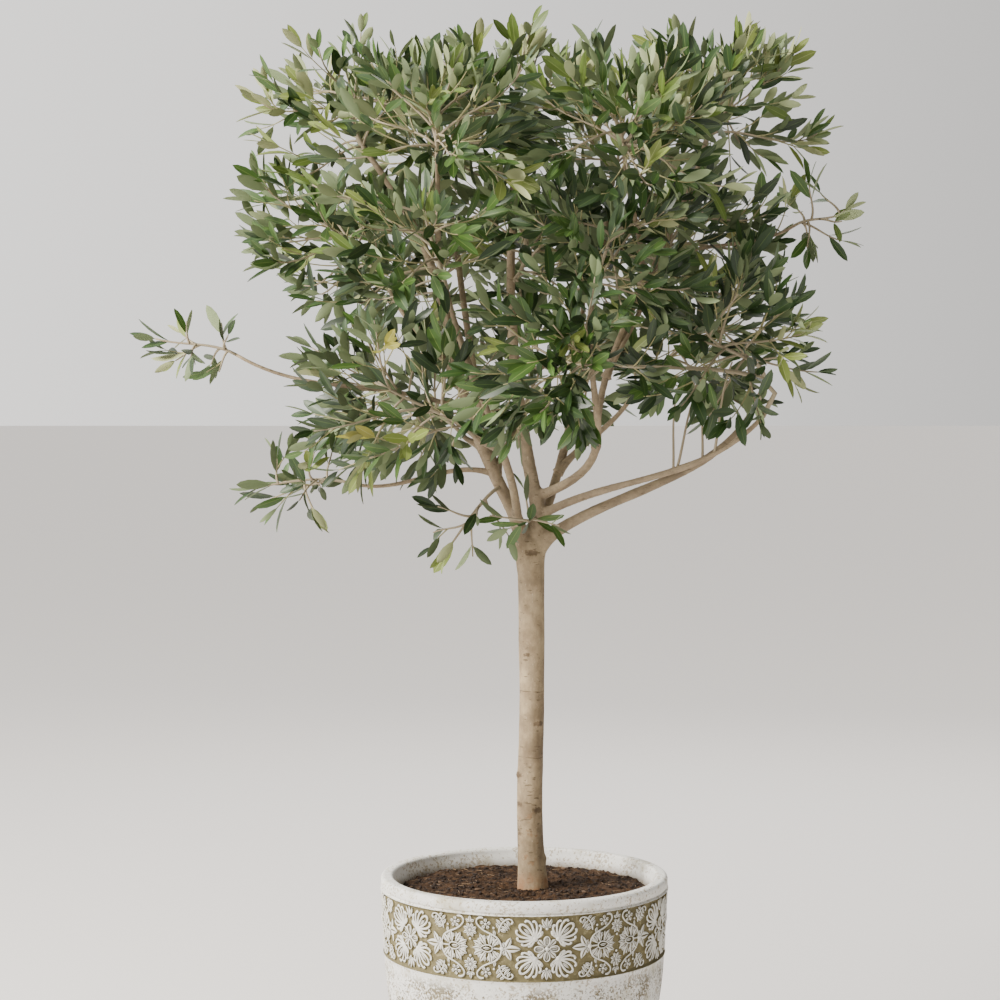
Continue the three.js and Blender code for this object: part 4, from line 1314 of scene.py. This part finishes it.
FLOOR_HALF = 45.0
ROOM_TINT = (1.0, 0.975, 0.945, 1.0)
floor_points = [(x * FLOOR_HALF, y * FLOOR_HALF, 0.0) for x, y in ((-1, -1), (1, -1), (1, 1), (-1, 1))]
floor = placed("floor", new_mesh("floor", floor_points, [(0, 1, 2, 3)]))
floor.data.materials.append(plain("pale_floor", (240, 236, 232), 0.9))

room = Finish("pale_room", bpy.data.worlds, "Background")
heading = room.node("ShaderNodeTexCoord", {}, {}, "Generated")
rightward = room.node("ShaderNodeSeparateXYZ", {}, {0: heading}, "X")
fall = {"Value": rightward, "From Min": -0.7, "From Max": 0.9, "To Min": 1.85, "To Max": 0.12}
strength = room.node("ShaderNodeMapRange", {"interpolation_type": "SMOOTHSTEP"}, fall)
bpy.context.scene.world = room.surface(Color=ROOM_TINT, Strength=strength)


def add_light(name, place, aim, size, power, tint):
    """A square soft light that faces a point."""
    data = bpy.data.lights.new(name, "AREA")
    data.shape = "SQUARE"
    data.size = size
    data.energy = power
    data.color = tint
    made = placed(name, data)
    made.location = place
    made.rotation_euler = (Vector(aim) - Vector(place)).to_track_quat("-Z", "Y").to_euler()


add_light("key_light", place=(-3.2, -1.7, 2.8), aim=(0, 0, 0.9), size=1.2, power=380, tint=(1.0, 0.95, 0.88))
add_light("back_light", place=(0.6, 3.0, 2.6), aim=(0, 0, 1.1), size=1.8, power=40, tint=(1.0, 1.0, 1.0))

# The camera: a 90 mm lens 3.4 m away, at the height of the crown's foot and
# tipped down a little, which gives the photograph's frame.

FOCAL_PIXELS = 2500
IMAGE_WIDTH = 1000
SENSOR = 36.0
CAMERA_PLACE = (-0.033, -3.375, 1.020)
PIXELS_DOWN = 127
camera_data = bpy.data.cameras.new("camera")
camera_data.sensor_width = SENSOR
camera_data.lens = FOCAL_PIXELS / IMAGE_WIDTH * SENSOR
camera = placed("camera", camera_data)
camera.location = CAMERA_PLACE
camera.rotation_euler = (math.pi / 2 - math.atan(PIXELS_DOWN / FOCAL_PIXELS), 0, 0)
bpy.context.scene.camera = camera
